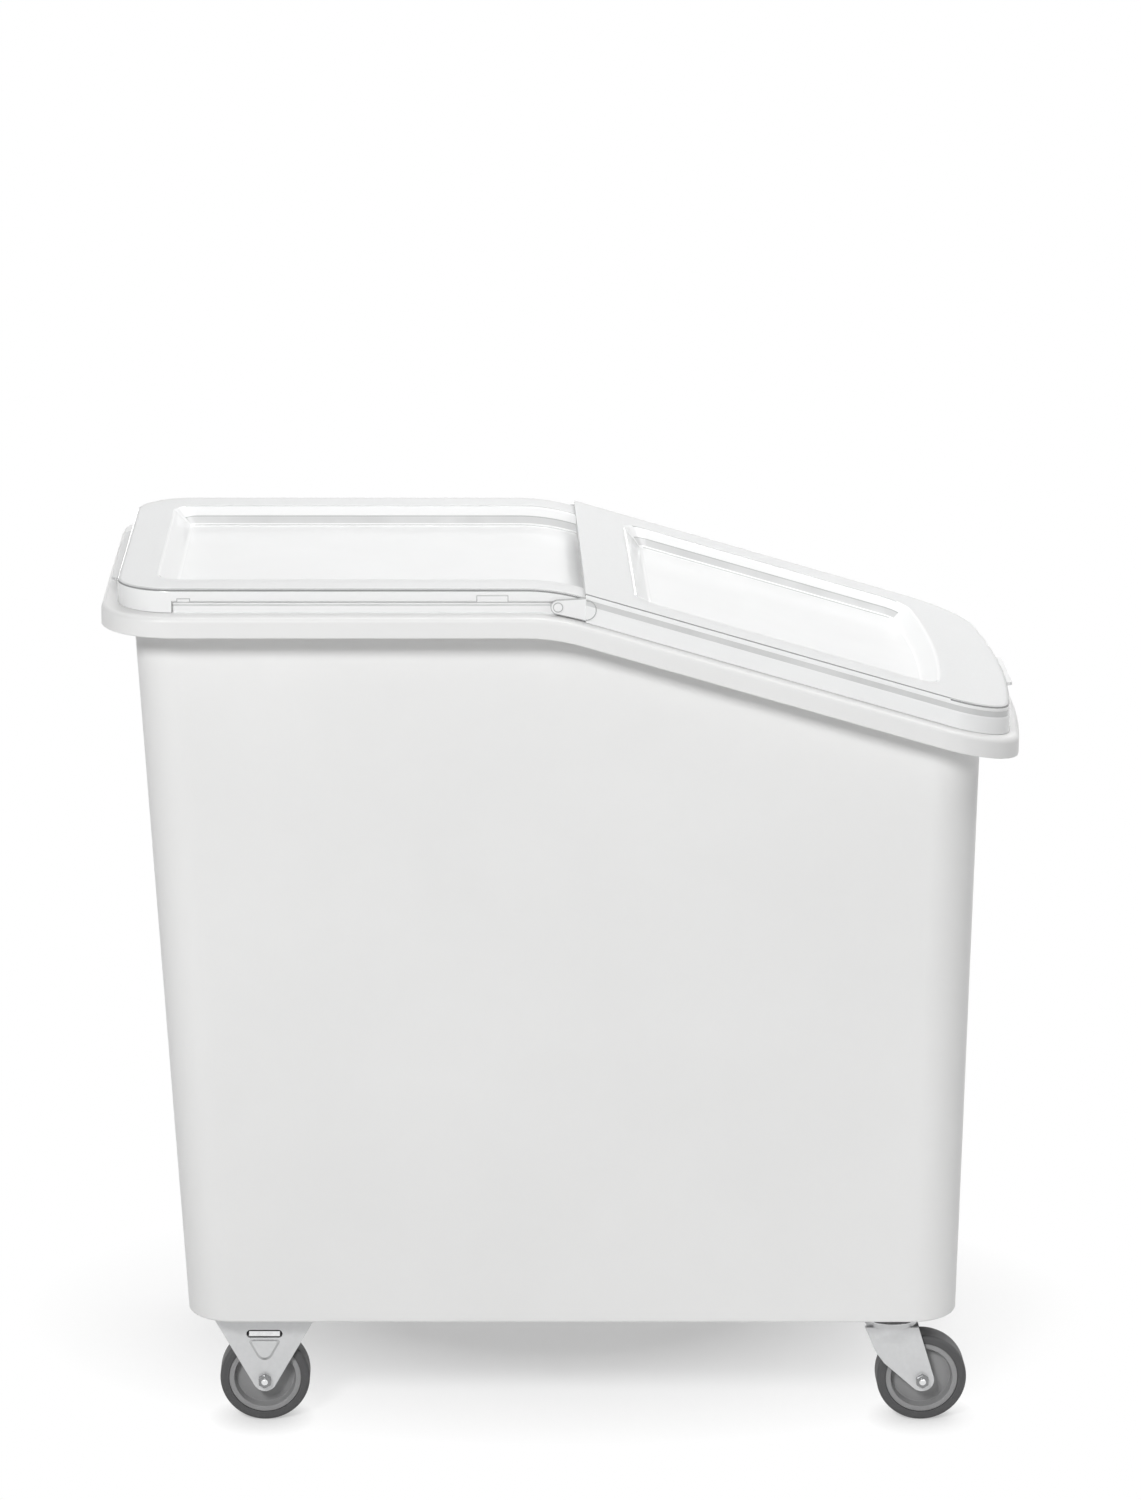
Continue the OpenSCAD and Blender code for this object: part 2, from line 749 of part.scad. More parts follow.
module axle_sleeve(x) {
    color(bright_steel) about_axle(x) difference() {
        cylinder(h = fork_gap, r = sleeve_r, center = true);
        cylinder(h = fork_gap + 2 * weld, r = bolt_hole_r, center = true);
    }
}

// Runs across the fork, with its head on the inner side
module axle_bolt(x) {
    tip = leg_out + nut_t + bolt_end;
    color(bright_steel) about_axle(x) {
        translate([0, 0, -tip]) cylinder(h = tip + leg_out + weld, r = axle_d / 2);
        translate([0, 0, leg_out]) cylinder(h = bolt_head_t, r = nut_r, $fn = 6);
    }
}

module axle_nut(x) {
    color(bright_steel) about_axle(x) translate([0, 0, -leg_out - nut_t]) difference() {
        cylinder(h = nut_t, r = nut_r, $fn = 6);
        translate([0, 0, -weld]) cylinder(h = nut_t + 2 * weld, r = axle_d / 2 + insert_clear);
    }
}

module wheel_core(x) {
    bore_r = sleeve_r + run_clear;
    hub_r = hub_d / 2;
    ring_r = core_r - ring_t;
    draft = 0.8;
    dish = 2;
    half = [
        [bore_r, hub_w / 2],
        [hub_r, hub_w / 2],
        [hub_r + 2 * draft, web_t / 2 + dish],
        [ring_r - dish, web_t / 2],
        [ring_r - draft, ring_w / 2],
        [core_r, ring_w / 2]
    ];
    color(core_grey) about_axle(x) rotate_extrude()
        polygon(concat(half, [for (p = reversed(half)) [p.x, -p.y]]));
}

module tyre(x) {
    outer_r = wheel_d / 2;
    color(tyre_grey) about_axle(x) rotate_extrude() {
        translate([core_r, -tyre_w / 2]) square([outer_r - tyre_edge - core_r, tyre_w]);
        translate([core_r, tyre_edge - tyre_w / 2]) square([outer_r - core_r, tyre_w - 2 * tyre_edge]);
        for (y = [-1, 1])
            translate([outer_r - tyre_edge, y * (tyre_w / 2 - tyre_edge)]) circle(tyre_edge);
    }
}

// Pieces that every caster has, with the axle at x from the caster's middle
module axle_piece(name, x) {
    if (name == "sleeve") axle_sleeve(x);
    if (name == "bolt") axle_bolt(x);
    if (name == "nut") axle_nut(x);
    if (name == "core") wheel_core(x);
    if (name == "tyre") tyre(x);
}

module fixed_piece(name) {
    if (name == "fork") fixed_fork();
    axle_piece(name, 0);
}

module swivel_piece(name) {
    if (name == "plate") swivel_plate();
    if (name == "kingpin") kingpin();
    if (name == "upper_balls") ball_row(upper_pitch, upper_z, upper_r);
    if (name == "lower_balls") ball_row(lower_pitch, lower_z, lower_r);
    if (name == "cup") lower_cup();
    if (name == "fork") swivel_fork();
    axle_piece(name, trail);
}

bin_tub();
rear_lid();
front_lid();
caster_inserts();
caster_screws();
for (c = fixed_casters, p = fixed_pieces)
    at_caster(c) fixed_piece(p);
for (c = swivel_casters, p = swivel_pieces)
    at_caster(c) swivel_piece(p);
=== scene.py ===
"""Looks of a rolling flour bin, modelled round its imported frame: tub, lids, casters and white studio."""

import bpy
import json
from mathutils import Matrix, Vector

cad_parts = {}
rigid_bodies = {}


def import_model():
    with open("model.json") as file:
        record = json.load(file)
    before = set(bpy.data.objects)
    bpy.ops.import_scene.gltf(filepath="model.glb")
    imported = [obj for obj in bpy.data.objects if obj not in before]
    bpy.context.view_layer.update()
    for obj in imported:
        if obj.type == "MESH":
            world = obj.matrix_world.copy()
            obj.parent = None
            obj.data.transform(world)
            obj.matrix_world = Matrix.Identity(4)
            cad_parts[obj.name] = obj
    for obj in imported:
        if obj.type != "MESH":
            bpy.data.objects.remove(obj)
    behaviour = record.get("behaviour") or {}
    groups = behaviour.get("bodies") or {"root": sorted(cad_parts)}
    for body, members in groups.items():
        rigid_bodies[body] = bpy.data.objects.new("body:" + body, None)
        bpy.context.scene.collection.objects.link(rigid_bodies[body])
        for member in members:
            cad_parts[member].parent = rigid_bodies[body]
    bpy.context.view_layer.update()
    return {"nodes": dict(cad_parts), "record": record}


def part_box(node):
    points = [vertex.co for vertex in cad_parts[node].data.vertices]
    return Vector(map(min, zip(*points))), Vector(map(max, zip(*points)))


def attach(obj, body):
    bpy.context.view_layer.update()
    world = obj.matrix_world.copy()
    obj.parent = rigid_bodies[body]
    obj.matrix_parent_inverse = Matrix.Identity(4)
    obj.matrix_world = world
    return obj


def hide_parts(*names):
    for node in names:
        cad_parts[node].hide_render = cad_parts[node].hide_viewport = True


bl_info = {
    "name": "Rolling Flour Bin",
    "version": (1, 0, 0),
    "blender": (4, 5, 0),
    "location": "View3D > Sidebar > Flour Bin",
    "description": "Models the moulded tub, the clear lids and the casters of a rolling flour bin",
    "category": "Add Mesh",
}

import json
import math
from collections import namedtuple

import bmesh
import bpy
from bpy.props import FloatProperty, FloatVectorProperty, PointerProperty
from mathutils import Vector

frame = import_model()

NEAR = 1e-5
SHARP = math.radians(35)
X, Y, Z = range(3)
UP = (0, 0, 1)
ACROSS = (0, 1, 0)

# Steps round the corners of an outline, sides of the hinge pins and ears, and the least corner radius
CORNER_STEPS = 10
PIN_SIDES = 32
LEAST_CORNER = 0.002

# The casters, each with its side of the bin: 1 is the left and -1 the right
FIXED_CASTERS = {"rear_left": 1, "rear_right": -1}
SWIVEL_CASTERS = {"front_left": 1, "front_right": -1}

# Corner radius of the axle bolts' heads and of the nuts
HEX_R = 0.00576

# Beyond this place along the bin the outlines are bowed, and they are cut at these places across it
FRONT_PART = 0.2
BOW_PLACES = [0.03 * i for i in range(-4, 5)]

# Outlines of a lid, from the skirt's top edge to the sunken panel
SKIRT_TOP, PANEL_TOP, WALL_STEP, STEP_END, PANEL_EDGE = range(2, 7)

# Material slots of the lids, of the forks and of the swivel plates
CLEAR, PANEL, FROSTED, EDGE, THIN, SHADED = range(6)
BRIGHT, FOLD = 1, 2
GROOVE = 1

# Width of the thin lines that show in the clear plastic
LINE_W = 0.0007

# A rounded rectangle seen from above, even about the bin's middle, and the heights of a swivel head
Plan = namedtuple("Plan", "rear front half corner")
Head = namedtuple("Head", "crown ring shoulder")

# Fine bumps of a finish: the scale of their noise, their height and strength, and the stretch along each axis
Bumps = namedtuple("Bumps", "scale height strength stretch", defaults=[(1, 1, 1)])


def distance(name, description, default):
    return FloatProperty(name=name, description=description, default=default, subtype="DISTANCE",
                         unit="LENGTH")


def angle(name, description, degrees):
    return FloatProperty(name=name, description=description, default=math.radians(degrees), subtype="ANGLE",
                         unit="ROTATION")


def power(name, description, default):
    return FloatProperty(name=name, description=description, default=default, unit="POWER")


def colour(name, description, default):
    return FloatVectorProperty(name=name, description=description, default=default, size=3, min=0, max=1,
                               subtype="COLOR")


class TubSizes(bpy.types.PropertyGroup):
    """Sizes of the moulded tub"""
    slope: angle("Slope", "Slope of the front part of the rim", 16.25)
    bend_x: distance("Bend", "Place of the bend in the rim", -0.0118)
    bend_r: distance("Bend radius", "Radius of the bend in the rim", 0.17)
    bow_r: distance("Front bow", "Plan radius of the bowed front edges", 1.05)
    rim_over: distance("Rim overhang", "Overhang of the rim at the rear and the sides", 0.0255)
    front_over: distance("Front overhang", "Overhang of the rim at the front", 0.0314)
    rim_h: distance("Rim depth", "Depth of the rim's turned-down edge", 0.0165)
    rim_t: distance("Rim thickness", "Thickness of the rim", 0.0035)
    rim_edge: distance("Rim rounding", "Rounding along the rim's top edge", 0.004)
    rim_corner: distance("Rim corner", "Plan radius of the rim's corners", 0.06)
    lip_h: distance("Lip height", "Height of the lip inside the lids", 0.0085)
    wall: distance("Wall", "Thickness of the walls", 0.004)
    floor_t: distance("Floor", "Thickness of the floor", 0.0045)
    mouth_corner: distance("Mouth corner", "Plan radius of the tub's corners at the mouth", 0.036)
    base_corner: distance("Base corner", "Plan radius of the tub's corners at the bottom", 0.038)
    rear_lean: distance("Rear lean", "How far the rear wall leans in", 0.0365)
    front_lean: distance("Front lean", "How far the front wall leans in", 0.0122)
    side_lean: distance("Side lean", "How far each side wall leans in", 0.0114)
    base_edge: distance("Floor rounding", "Rounding round the floor inside", 0.007)
    foot_edge: distance("Foot rounding", "Rounding of the bottom edge", 0.0025)
    foot_h: distance("Hollow", "Depth of the hollow under the floor", 0.011)
    foot_w: distance("Foot", "Width of the foot round the hollow", 0.013)
    rib_t: distance("Rib", "Thickness of the ribs under the floor", 0.003)


class LidSizes(bpy.types.PropertyGroup):
    """Sizes of the two clear lids"""
    thick: distance("Thickness", "Thickness of both lids", 0.0025)
    gap: distance("Gap", "Gap between the skirts and the rim", 0.0004)
    rear_h: distance("Rear lid height", "Height of the rear lid's top above the rim", 0.0196)
    rear_in: distance("Rear inset", "Distance from the rim's rear edge to the rear lid", 0.013)
    front_in: distance("Front inset", "Distance from the rim's front edge to the front lid", 0.0086)
    rear_half: distance("Half width", "Half the width of the rear lid", 0.178)
    skirt_clear: distance("Skirt clearance", "Clearance between the two lids' skirts", 0.0005)
    corner: distance("Corner", "Plan radius of the lids' corners", 0.045)
    edge: distance("Edge rounding", "Rounding of the lids' top edges", 0.0035)
    recess_d: distance("Panel depth", "Depth of the sunken panels", 0.0145)
    recess_run: distance("Panel wall", "Run of the sunken panels' slanted walls", 0.014)
    recess_corner: distance("Panel corner", "Plan radius of the sunken panels' corners", 0.02)
    side_band: distance("Side band", "Width of the frosted bands along the sides", 0.0355)
    rear_band: distance("Rear band", "Width of the rear lid's rear band", 0.0325)
    seam_band: distance("Seam band", "Width of the front lid's rear band", 0.041)
    front_band: distance("Front band", "Width of the front lid's front band", 0.058)
    seam_x: distance("Seam", "Place of the front lid's rear edge", 0.0132)
    tuck: distance("Tuck", "Length of the rear lid under the front lid", 0.008)
    front_rise: distance("Front rise", "Rise of the front lid over the rear lid's slope", 0.004)
    pin_r: distance("Pin radius", "Radius of the hinge pins", 0.004)
    pin_x: distance("Pin place", "Place of the hinge pins", -0.0088)
    pin_up: distance("Pin height", "Height of the hinge pins above the rim", 0.0052)
    ear_wall: distance("Ear wall", "Width of the wall round the hinge pins", 0.002)
    track_d: distance("Track depth", "Depth of the pins' track", 0.0022)
    track_l: distance("Track length", "Length of the pins' track", 0.319)
    lip_l: distance("Rear lip", "Length of the rear finger lip", 0.18)
    lip_out: distance("Rear lip reach", "Reach of the rear finger lip", 0.0075)
    tab_l: distance("Front tab", "Length of the front finger tab", 0.09)
    tab_out: distance("Front tab reach", "Reach of the front finger tab", 0.004)


class CasterSizes(bpy.types.PropertyGroup):
    """Sizes of the casters"""
    wheel_r: distance("Wheel radius", "Radius of the wheels", 0.0375)
    tyre_w: distance("Tyre width", "Width of the tyres", 0.024)
    core_r: distance("Core radius", "Radius of the wheel core", 0.0302)
    ring_t: distance("Ring", "Width of the ring round the wheel core", 0.0037)
    web_t: distance("Web", "Thickness of the wheel core's web", 0.005)
    hub_r: distance("Hub radius", "Radius of the wheel hub", 0.009)
    bore_r: distance("Bore radius", "Radius of the wheel's bore", 0.00456)
    place_y: distance("Caster place", "Distance of the casters from the middle", 0.122)
    fixed_x: distance("Fixed casters", "Place of the fixed casters along the bin", -0.2488)
    swivel_x: distance("Swivel casters", "Place of the swivel casters along the bin", 0.2738)
    trail: distance("Trail", "Trail of the swivel casters", 0.0264)
    sheet: distance("Sheet", "Thickness of the fork sheet", 0.0025)
    fork_gap: distance("Fork gap", "Space between the legs of a fork", 0.028)
    leg_end_r: distance("Leg end", "Radius of the legs' ends round the axle", 0.01)
    plate_w: distance("Plate width", "Width of the caster plates", 0.056)
    fixed_l: distance("Fixed plate", "Length of the fixed casters' plates", 0.0885)
    swivel_l: distance("Swivel plate", "Length of the swivel casters' plates", 0.062)
    height: distance("Caster height", "Height of the plates' tops above the floor", 0.101)
    plate_r: distance("Plate corner", "Plan radius of the caster plates' corners", 0.01)
    head_r: distance("Head radius", "Radius of the swivel heads", 0.024)
    slot_l: distance("Slot length", "Length of the slot in a fixed fork's leg", 0.03)
    slot_h: distance("Slot height", "Height of the slot in a fixed fork's leg", 0.007)
    axle_r: distance("Axle radius", "Radius of the axle bolts", 0.003)


class BinFinish(bpy.types.PropertyGroup):
    """Colours of the flour bin"""
    tub_white: colour("Tub", "White moulded plastic of the tub", (0.84, 0.84, 0.835))
    lid_clear: colour("Clear lid", "Tint of the clear plastic", (0.96, 0.965, 0.965))
    lid_frost: colour("Frosted band", "Tint of the frosted bands", (0.77, 0.775, 0.775))
    lid_edge: colour("Lid edge", "Grey along the lids' top edges", (0.25, 0.255, 0.255))
    lid_line: colour("Lid line", "Grey of the thin lines in the clear plastic", (0.56, 0.565, 0.565))
    zinc: colour("Zinc", "Zinc plate on the forks and plates", (0.64, 0.645, 0.65))
    bright_steel: colour("Bright steel", "Bolts, swivel heads and balls", (0.8, 0.805, 0.81))
    nut_steel: colour("Nut steel", "Nuts", (0.27, 0.273, 0.277))
    groove: colour("Groove", "Greased groove of the swivel heads", (0.06, 0.06, 0.06))
    brass: colour("Brass", "Threaded inserts", (0.72, 0.5, 0.2))
    core_grey: colour("Wheel core", "Grey plastic of the wheel cores", (0.3, 0.3, 0.303))
    tyre_grey: colour("Tyre", "Dark grey rubber of the tyres", (0.078, 0.078, 0.08))


class Studio(bpy.types.PropertyGroup):
    """Camera and lamps of the white studio"""
    pitch: angle("Pitch", "How far the camera looks down", 14.75)
    camera: FloatVectorProperty(name="Camera", description="Place of the camera", size=3, subtype="XYZ",
                                unit="LENGTH", default=(-0.0984, -3.963, 1.5886))
    lens: FloatProperty(name="Lens", description="Focal length in millimetres", default=117.6)
    shift: FloatProperty(name="Shift", description="Sideways shift of the lens", default=0.0837)
    key: power("Key", "Power of the softbox on the left", 228)
    fill: power("Fill", "Power of the large softbox on the right", 17)
    top: power("Top", "Power of the softbox above the bin", 43)
    back: power("Back", "Power of the low softbox behind the bin", 20)
    ambient: FloatProperty(name="Ambient", description="Strength of the light from all round", default=0.03)


# Modelling helpers


def deselect():
    if bpy.context.mode != "OBJECT":
        bpy.ops.object.mode_set(mode="OBJECT")
    bpy.ops.object.select_all(action="DESELECT")


def open_piece(name):
    """Starts an empty piece at the origin and opens it for editing."""
    deselect()
    bpy.ops.object.add(type="MESH", enter_editmode=True, location=(0, 0, 0))
    piece = bpy.context.active_object
    piece.name = name
    piece.data.name = name
    return piece


def edit_mesh():
    return bmesh.from_edit_mesh(bpy.context.edit_object.data)


def refresh():
    """Lets the open piece show what was changed in its mesh."""
    bmesh.update_edit_mesh(bpy.context.edit_object.data)


def take(piece):
    """Selects one piece and makes it the active one."""
    deselect()
    piece.select_set(True)
    bpy.context.view_layer.objects.active = piece


def edit_mode():
    bpy.ops.object.mode_set(mode="EDIT")


def object_mode():
    bpy.ops.object.mode_set(mode="OBJECT")


def turn_outward():
    """Points every face of the open piece outward."""
    bpy.ops.mesh.select_all(action="SELECT")
    bpy.ops.mesh.normals_make_consistent(inside=False)


def push(way):
    """Extrudes what is selected along a vector."""
    bpy.ops.mesh.extrude_region_move(TRANSFORM_OT_translate={"value": way})


def close_solid():
    """Selects the whole solid that the selected faces belong to and points its faces outward."""
    bpy.ops.mesh.select_linked()
    bpy.ops.mesh.normals_make_consistent(inside=False)


def raise_solid(way):
    """Extrudes the selected face along a vector into a closed solid."""
    push(way)
    close_solid()


def round_corners(radius, steps):
    """Rounds the selected corners of a flat face and selects the whole face."""
    bpy.ops.mesh.bevel(offset=radius, segments=steps, affect="VERTICES")
    bpy.ops.mesh.select_linked()


def finish_selected(slot, test=lambda face: True):
    """Gives the selected faces that pass a test one of the piece's materials."""
    for face in [f for f in edit_mesh().faces if f.select and test(f)]:
        face.material_index = slot


def pick(kind, test):
    """Selects the points, edges or faces of the open piece that pass a test."""
    bpy.ops.mesh.select_mode(type=kind)
    bpy.ops.mesh.select_all(action="DESELECT")
    mesh = edit_mesh()
    parts = {"VERT": mesh.verts, "EDGE": mesh.edges, "FACE": mesh.faces}[kind]
    for part in [p for p in parts if test(p)]:
        part.select = True
    mesh.select_flush_mode()
    refresh()


def centre_of(face):
    return face.calc_center_median()


def middle(edge):
    return (edge.verts[0].co + edge.verts[1].co) / 2


def move_points(place):
    """Moves every point of the open piece to where a function puts it."""
    mesh = edit_mesh()
    for point in mesh.verts:
        point.co = place(point.co)
    mesh.normal_update()
    refresh()


def grown(plan, by):
    return Plan(plan.rear - by, plan.front + by, plan.half + by, max(plan.corner + by, LEAST_CORNER))


def marks(mesh):
    return mesh.verts.layers.int.get("outline") or mesh.verts.layers.int.new("outline")


def add_outline(plan, z, mark):
    """Adds a rounded rectangle as a closed loop of edges, with its points marked."""
    bpy.ops.mesh.select_mode(type="VERT")
    bpy.ops.mesh.primitive_plane_add(size=1, location=(0, 0, 0))
    size = (plan.front - plan.rear, 2 * plan.half, 1)
    bpy.ops.transform.resize(value=size, center_override=(0, 0, 0))
    bpy.ops.transform.translate(value=((plan.front + plan.rear) / 2, 0, z))
    bpy.ops.mesh.bevel(offset=plan.corner, segments=CORNER_STEPS, affect="VERTICES", clamp_overlap=False)
    bpy.ops.mesh.select_linked()
    bpy.ops.mesh.delete(type="ONLY_FACE")
    mesh = edit_mesh()
    layer = marks(mesh)
    for point in mesh.verts:
        if point[layer] == 0:
            point[layer] = mark
    refresh()


def pick_outline(mark):
    layer = marks(edit_mesh())
    pick("EDGE", lambda e: e.verts[0][layer] == mark and e.verts[1][layer] == mark)


def corner_centre(plan, point):
    """Centre of the rounded corner of a plan that is nearest to a point."""
    centre_x = plan.front - plan.corner if 2 * point.x > plan.front + plan.rear else plan.rear + plan.corner
    return Vector((centre_x, math.copysign(plan.half - plan.corner, point.y)))


def extrude_outline(last, plan, z, mark):
    """Extrudes the last outline and moves its points to the next plan and height."""
    pick_outline(mark - 1)
    bpy.ops.mesh.extrude_edges_move(TRANSFORM_OT_translate={"value": (0, 0, 0)})
    mesh = edit_mesh()
    layer = marks(mesh)
    for point in [v for v in mesh.verts if v.select]:
        out = (point.co.xy - corner_centre(last, point.co)) / last.corner
        place = corner_centre(plan, point.co) + out * plan.corner
        point.co = (place.x, place.y, z)
        point[layer] = mark
    refresh()


def loft(outlines, caps):
    """Extrudes a rounded outline from each plan and height to the next, and fills the outlines in caps."""
    add_outline(*outlines[0], 1)
    for mark, ((last, _), (plan, z)) in enumerate(zip(outlines, outlines[1:]), 2):
        extrude_outline(last, plan, z, mark)
    for mark in caps:
        pick_outline(mark)
        bpy.ops.mesh.edge_face_add()
    turn_outward()


def round_outline(mark, radius, steps):
    pick_outline(mark)
    bpy.ops.mesh.bevel(offset=radius, segments=steps, affect="EDGES", clamp_overlap=False)


def cut_across(axis, places, test=lambda face: True):
    """Cuts the faces that pass a test at planes across an axis."""
    for place in places:
        pick("FACE", test)
        point = Vector((0, 0, 0))
        point[axis] = place
        normal = Vector((0, 0, 0))
        normal[axis] = 1
        bpy.ops.mesh.bisect(plane_co=point, plane_no=normal)


def drop_marks():
    mesh = edit_mesh()
    mesh.verts.layers.int.remove(marks(mesh))
    refresh()


def modify(piece, kind, **settings):
    """Adds a modifier to the active piece and applies it."""
    bpy.ops.object.modifier_add(type=kind)
    modifier = piece.modifiers[-1]
    for key, value in settings.items():
        setattr(modifier, key, value)
    bpy.ops.object.modifier_apply(modifier=modifier.name)


def close_piece(piece, edge=0):
    """Ends editing, softens the edges that are still sharp and shades the piece."""
    object_mode()
    if edge:
        modify(piece, "BEVEL", width=edge, segments=2, limit_method="ANGLE", angle_limit=SHARP,
               use_clamp_overlap=True)
    bpy.ops.object.shade_smooth_by_angle(angle=SHARP)
    modify(piece, "WEIGHTED_NORMAL", keep_sharp=True)


def paint(piece, *materials):
    slots = piece.data.materials
    while len(slots) < len(materials):
        slots.append(None)
    for i, material in enumerate(materials):
        slots[i] = material


def settle(piece, body, slot, *nodes):
    """Lets a finished piece ride on its body in place of its nodes."""
    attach(piece, body)
    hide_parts(*nodes)


def place_copy(piece, name, place, flipped=False):
    """Copies a finished piece to a place, turned over to the other side if asked."""
    take(piece)
    bpy.ops.object.duplicate()
    copy = bpy.context.active_object
    copy.name = name
    copy.data.name = name
    copy.location = place
    if flipped:
        copy.scale.y = -1
    bpy.ops.object.transform_apply(location=True, rotation=True, scale=True)
    if flipped:
        edit_mode()
        turn_outward()
        object_mode()
    return copy


def cut_with(piece, cutter):
    """Cuts one piece out of another and removes it."""
    take(piece)
    modify(piece, "BOOLEAN", object=cutter, operation="DIFFERENCE", solver="EXACT")
    remove_piece(cutter)


def thicken(piece, thickness):
    """Gives the open shell of a piece its thickness, inward."""
    object_mode()
    modify(piece, "SOLIDIFY", thickness=thickness, offset=-1, use_even_offset=True, use_rim=True)
    edit_mode()


def remove_piece(piece):
    bpy.data.objects.remove(piece)


def draw_profile(points):
    """Draws a closed face: a plane merged to one point, which is extruded from each place to the next."""
    places = [Vector(p) for p in points]
    bpy.ops.mesh.select_mode(type="VERT")
    bpy.ops.mesh.primitive_plane_add(size=1, location=(0, 0, 0))
    bpy.ops.mesh.merge(type="CENTER")
    bpy.ops.transform.translate(value=places[0])
    for here, there in zip(places, places[1:]):
        bpy.ops.mesh.extrude_vertices_move(TRANSFORM_OT_translate={"value": there - here})
    bpy.ops.mesh.select_linked()
    bpy.ops.mesh.edge_face_add()


def spin_profile(points, axis, edge=0, steps=72):
    """Turns a closed profile, with rounded corners if asked, about an axis through the origin."""
    draw_profile(points)
    if edge:
        bpy.ops.mesh.bevel(offset=edge, segments=2, affect="VERTICES", clamp_overlap=True)
        bpy.ops.mesh.select_linked()
    bpy.ops.mesh.delete(type="ONLY_FACE")
    pick("EDGE", lambda e: e.is_wire)
    bpy.ops.mesh.spin(steps=steps, angle=math.tau, center=(0, 0, 0), axis=axis, use_auto_merge=True)
    bpy.ops.mesh.select_linked()
    bpy.ops.mesh.remove_doubles(threshold=NEAR)
    bpy.ops.mesh.normals_make_consistent(inside=False)


# Finishes


def new_finish(name):
    material = bpy.data.materials.new(name)
    material.use_nodes = True
    tree = material.node_tree
    return material, tree, tree.nodes["Principled BSDF"]


def grain(tree, scale, detail=3, stretch=(1, 1, 1)):
    """Noise on the piece's own coordinates."""
    place = tree.nodes.new("ShaderNodeTexCoord")
    mapping = tree.nodes.new("ShaderNodeMapping")
    mapping.inputs["Scale"].default_value = stretch
    noise = tree.nodes.new("ShaderNodeTexNoise")
    noise.inputs["Scale"].default_value = scale
    noise.inputs["Detail"].default_value = detail
    tree.links.new(place.outputs["Object"], mapping.inputs["Vector"])
    tree.links.new(mapping.outputs["Vector"], noise.inputs["Vector"])
    return noise.outputs["Fac"]


def between(tree, factor, low, high, first=0.3, last=0.7):
    """Spreads the part of a factor from first to last over the values from low to high."""
    spread = tree.nodes.new("ShaderNodeMapRange")
    for socket, value in (("From Min", first), ("From Max", last), ("To Min", low), ("To Max", high)):
        spread.inputs[socket].default_value = value
    tree.links.new(factor, spread.inputs["Value"])
    return spread.outputs["Result"]


def tinted(tree, factor, dark, light):
    """Mixes two colours by a noise."""
    mix = tree.nodes.new("ShaderNodeMix")
    mix.data_type = "RGBA"
    mix.inputs["A"].default_value = (*dark, 1)
    mix.inputs["B"].default_value = (*light, 1)
    tree.links.new(factor, mix.inputs["Factor"])
    return mix.outputs["Result"]


def dented(tree, shader, bumps):
    """Bumps a surface by a fine noise."""
    bump = tree.nodes.new("ShaderNodeBump")
    bump.inputs["Strength"].default_value = bumps.strength
    bump.inputs["Distance"].default_value = bumps.height
    tree.links.new(grain(tree, bumps.scale, detail=2, stretch=bumps.stretch), bump.inputs["Height"])
    tree.links.new(bump.outputs["Normal"], shader.inputs["Normal"])


def shade(base, by):
    """A colour made darker or lighter by a factor."""
    return tuple(min(max(c * by, 0), 1) for c in base)


def mottle(tree, shader, base, scale, spread, roughness):
    """Small changes of colour and gloss over a surface."""
    patches = grain(tree, scale)
    shares = between(tree, patches, low=0, high=1)
    tree.links.new(tinted(tree, shares, shade(base, 1 - spread), base), shader.inputs["Base Color"])
    tree.links.new(between(tree, patches, *roughness), shader.inputs["Roughness"])


def surface(name, tint, patches, spread, roughness, bumps=None, **values):
    """A finish with patches of colour and gloss, fine bumps, and values for other inputs of its shader."""
    material, tree, shader = new_finish(name)
    mottle(tree, shader, tint, patches, spread, roughness)
    if bumps:
        dented(tree, shader, bumps)
    for socket, value in values.items():
        shader.inputs[socket].default_value = value
    return material


def milky(material):
    """Lets light pass a thin finish from above and shows it nearly opaque at a low angle."""
    tree = material.node_tree
    slant = tree.nodes.new("ShaderNodeLayerWeight")
    alpha = between(tree, slant.outputs["Facing"], low=0.25, high=0.88, first=0.2, last=0.7)
    tree.links.new(alpha, tree.nodes["Principled BSDF"].inputs["Alpha"])
    return material


def shared(make, finish):
    """The finish of a function that has been made before, or else a new one."""
    return bpy.data.materials.get(make.__name__) or make(finish)


def moulded_white(finish):
    return surface("moulded_white", finish.tub_white, patches=6, spread=0.025, roughness=(0.38, 0.5),
                   bumps=Bumps(700, height=0.00012, strength=0.35), IOR=1.49)


def clear_plastic(finish):
    return surface("clear_plastic", finish.lid_clear, patches=9, spread=0.01, roughness=(0.05, 0.1),
                   bumps=Bumps(500, height=0.0001, strength=0.03), IOR=1.5, Alpha=0.92)


def panel_plastic(finish):
    """Clear plastic that turns milky where it is seen at a low angle."""
    return milky(surface("panel_plastic", shade(finish.lid_clear, 0.95), patches=9, spread=0.02,
                         roughness=(0.12, 0.2), bumps=Bumps(500, height=0.0001, strength=0.03), IOR=1.5))


def frosted_plastic(finish):
    return milky(surface("frosted_plastic", finish.lid_frost, patches=420, spread=0.05, roughness=(0.4, 0.55),
                         bumps=Bumps(700, height=0.0003, strength=0.6), IOR=1.5))


def line_plastic(name, tint):
    return surface(name, tint, patches=30, spread=0.1, roughness=(0.1, 0.2),
                   bumps=Bumps(500, height=0.0001, strength=0.05), IOR=1.5, Alpha=0.86)


def edge_plastic(finish):
    return line_plastic("edge_plastic", finish.lid_edge)


def thin_plastic(finish):
    return line_plastic("thin_plastic", finish.lid_line)


def shaded_plastic(finish):
    return line_plastic("shaded_plastic", finish.lid_frost)


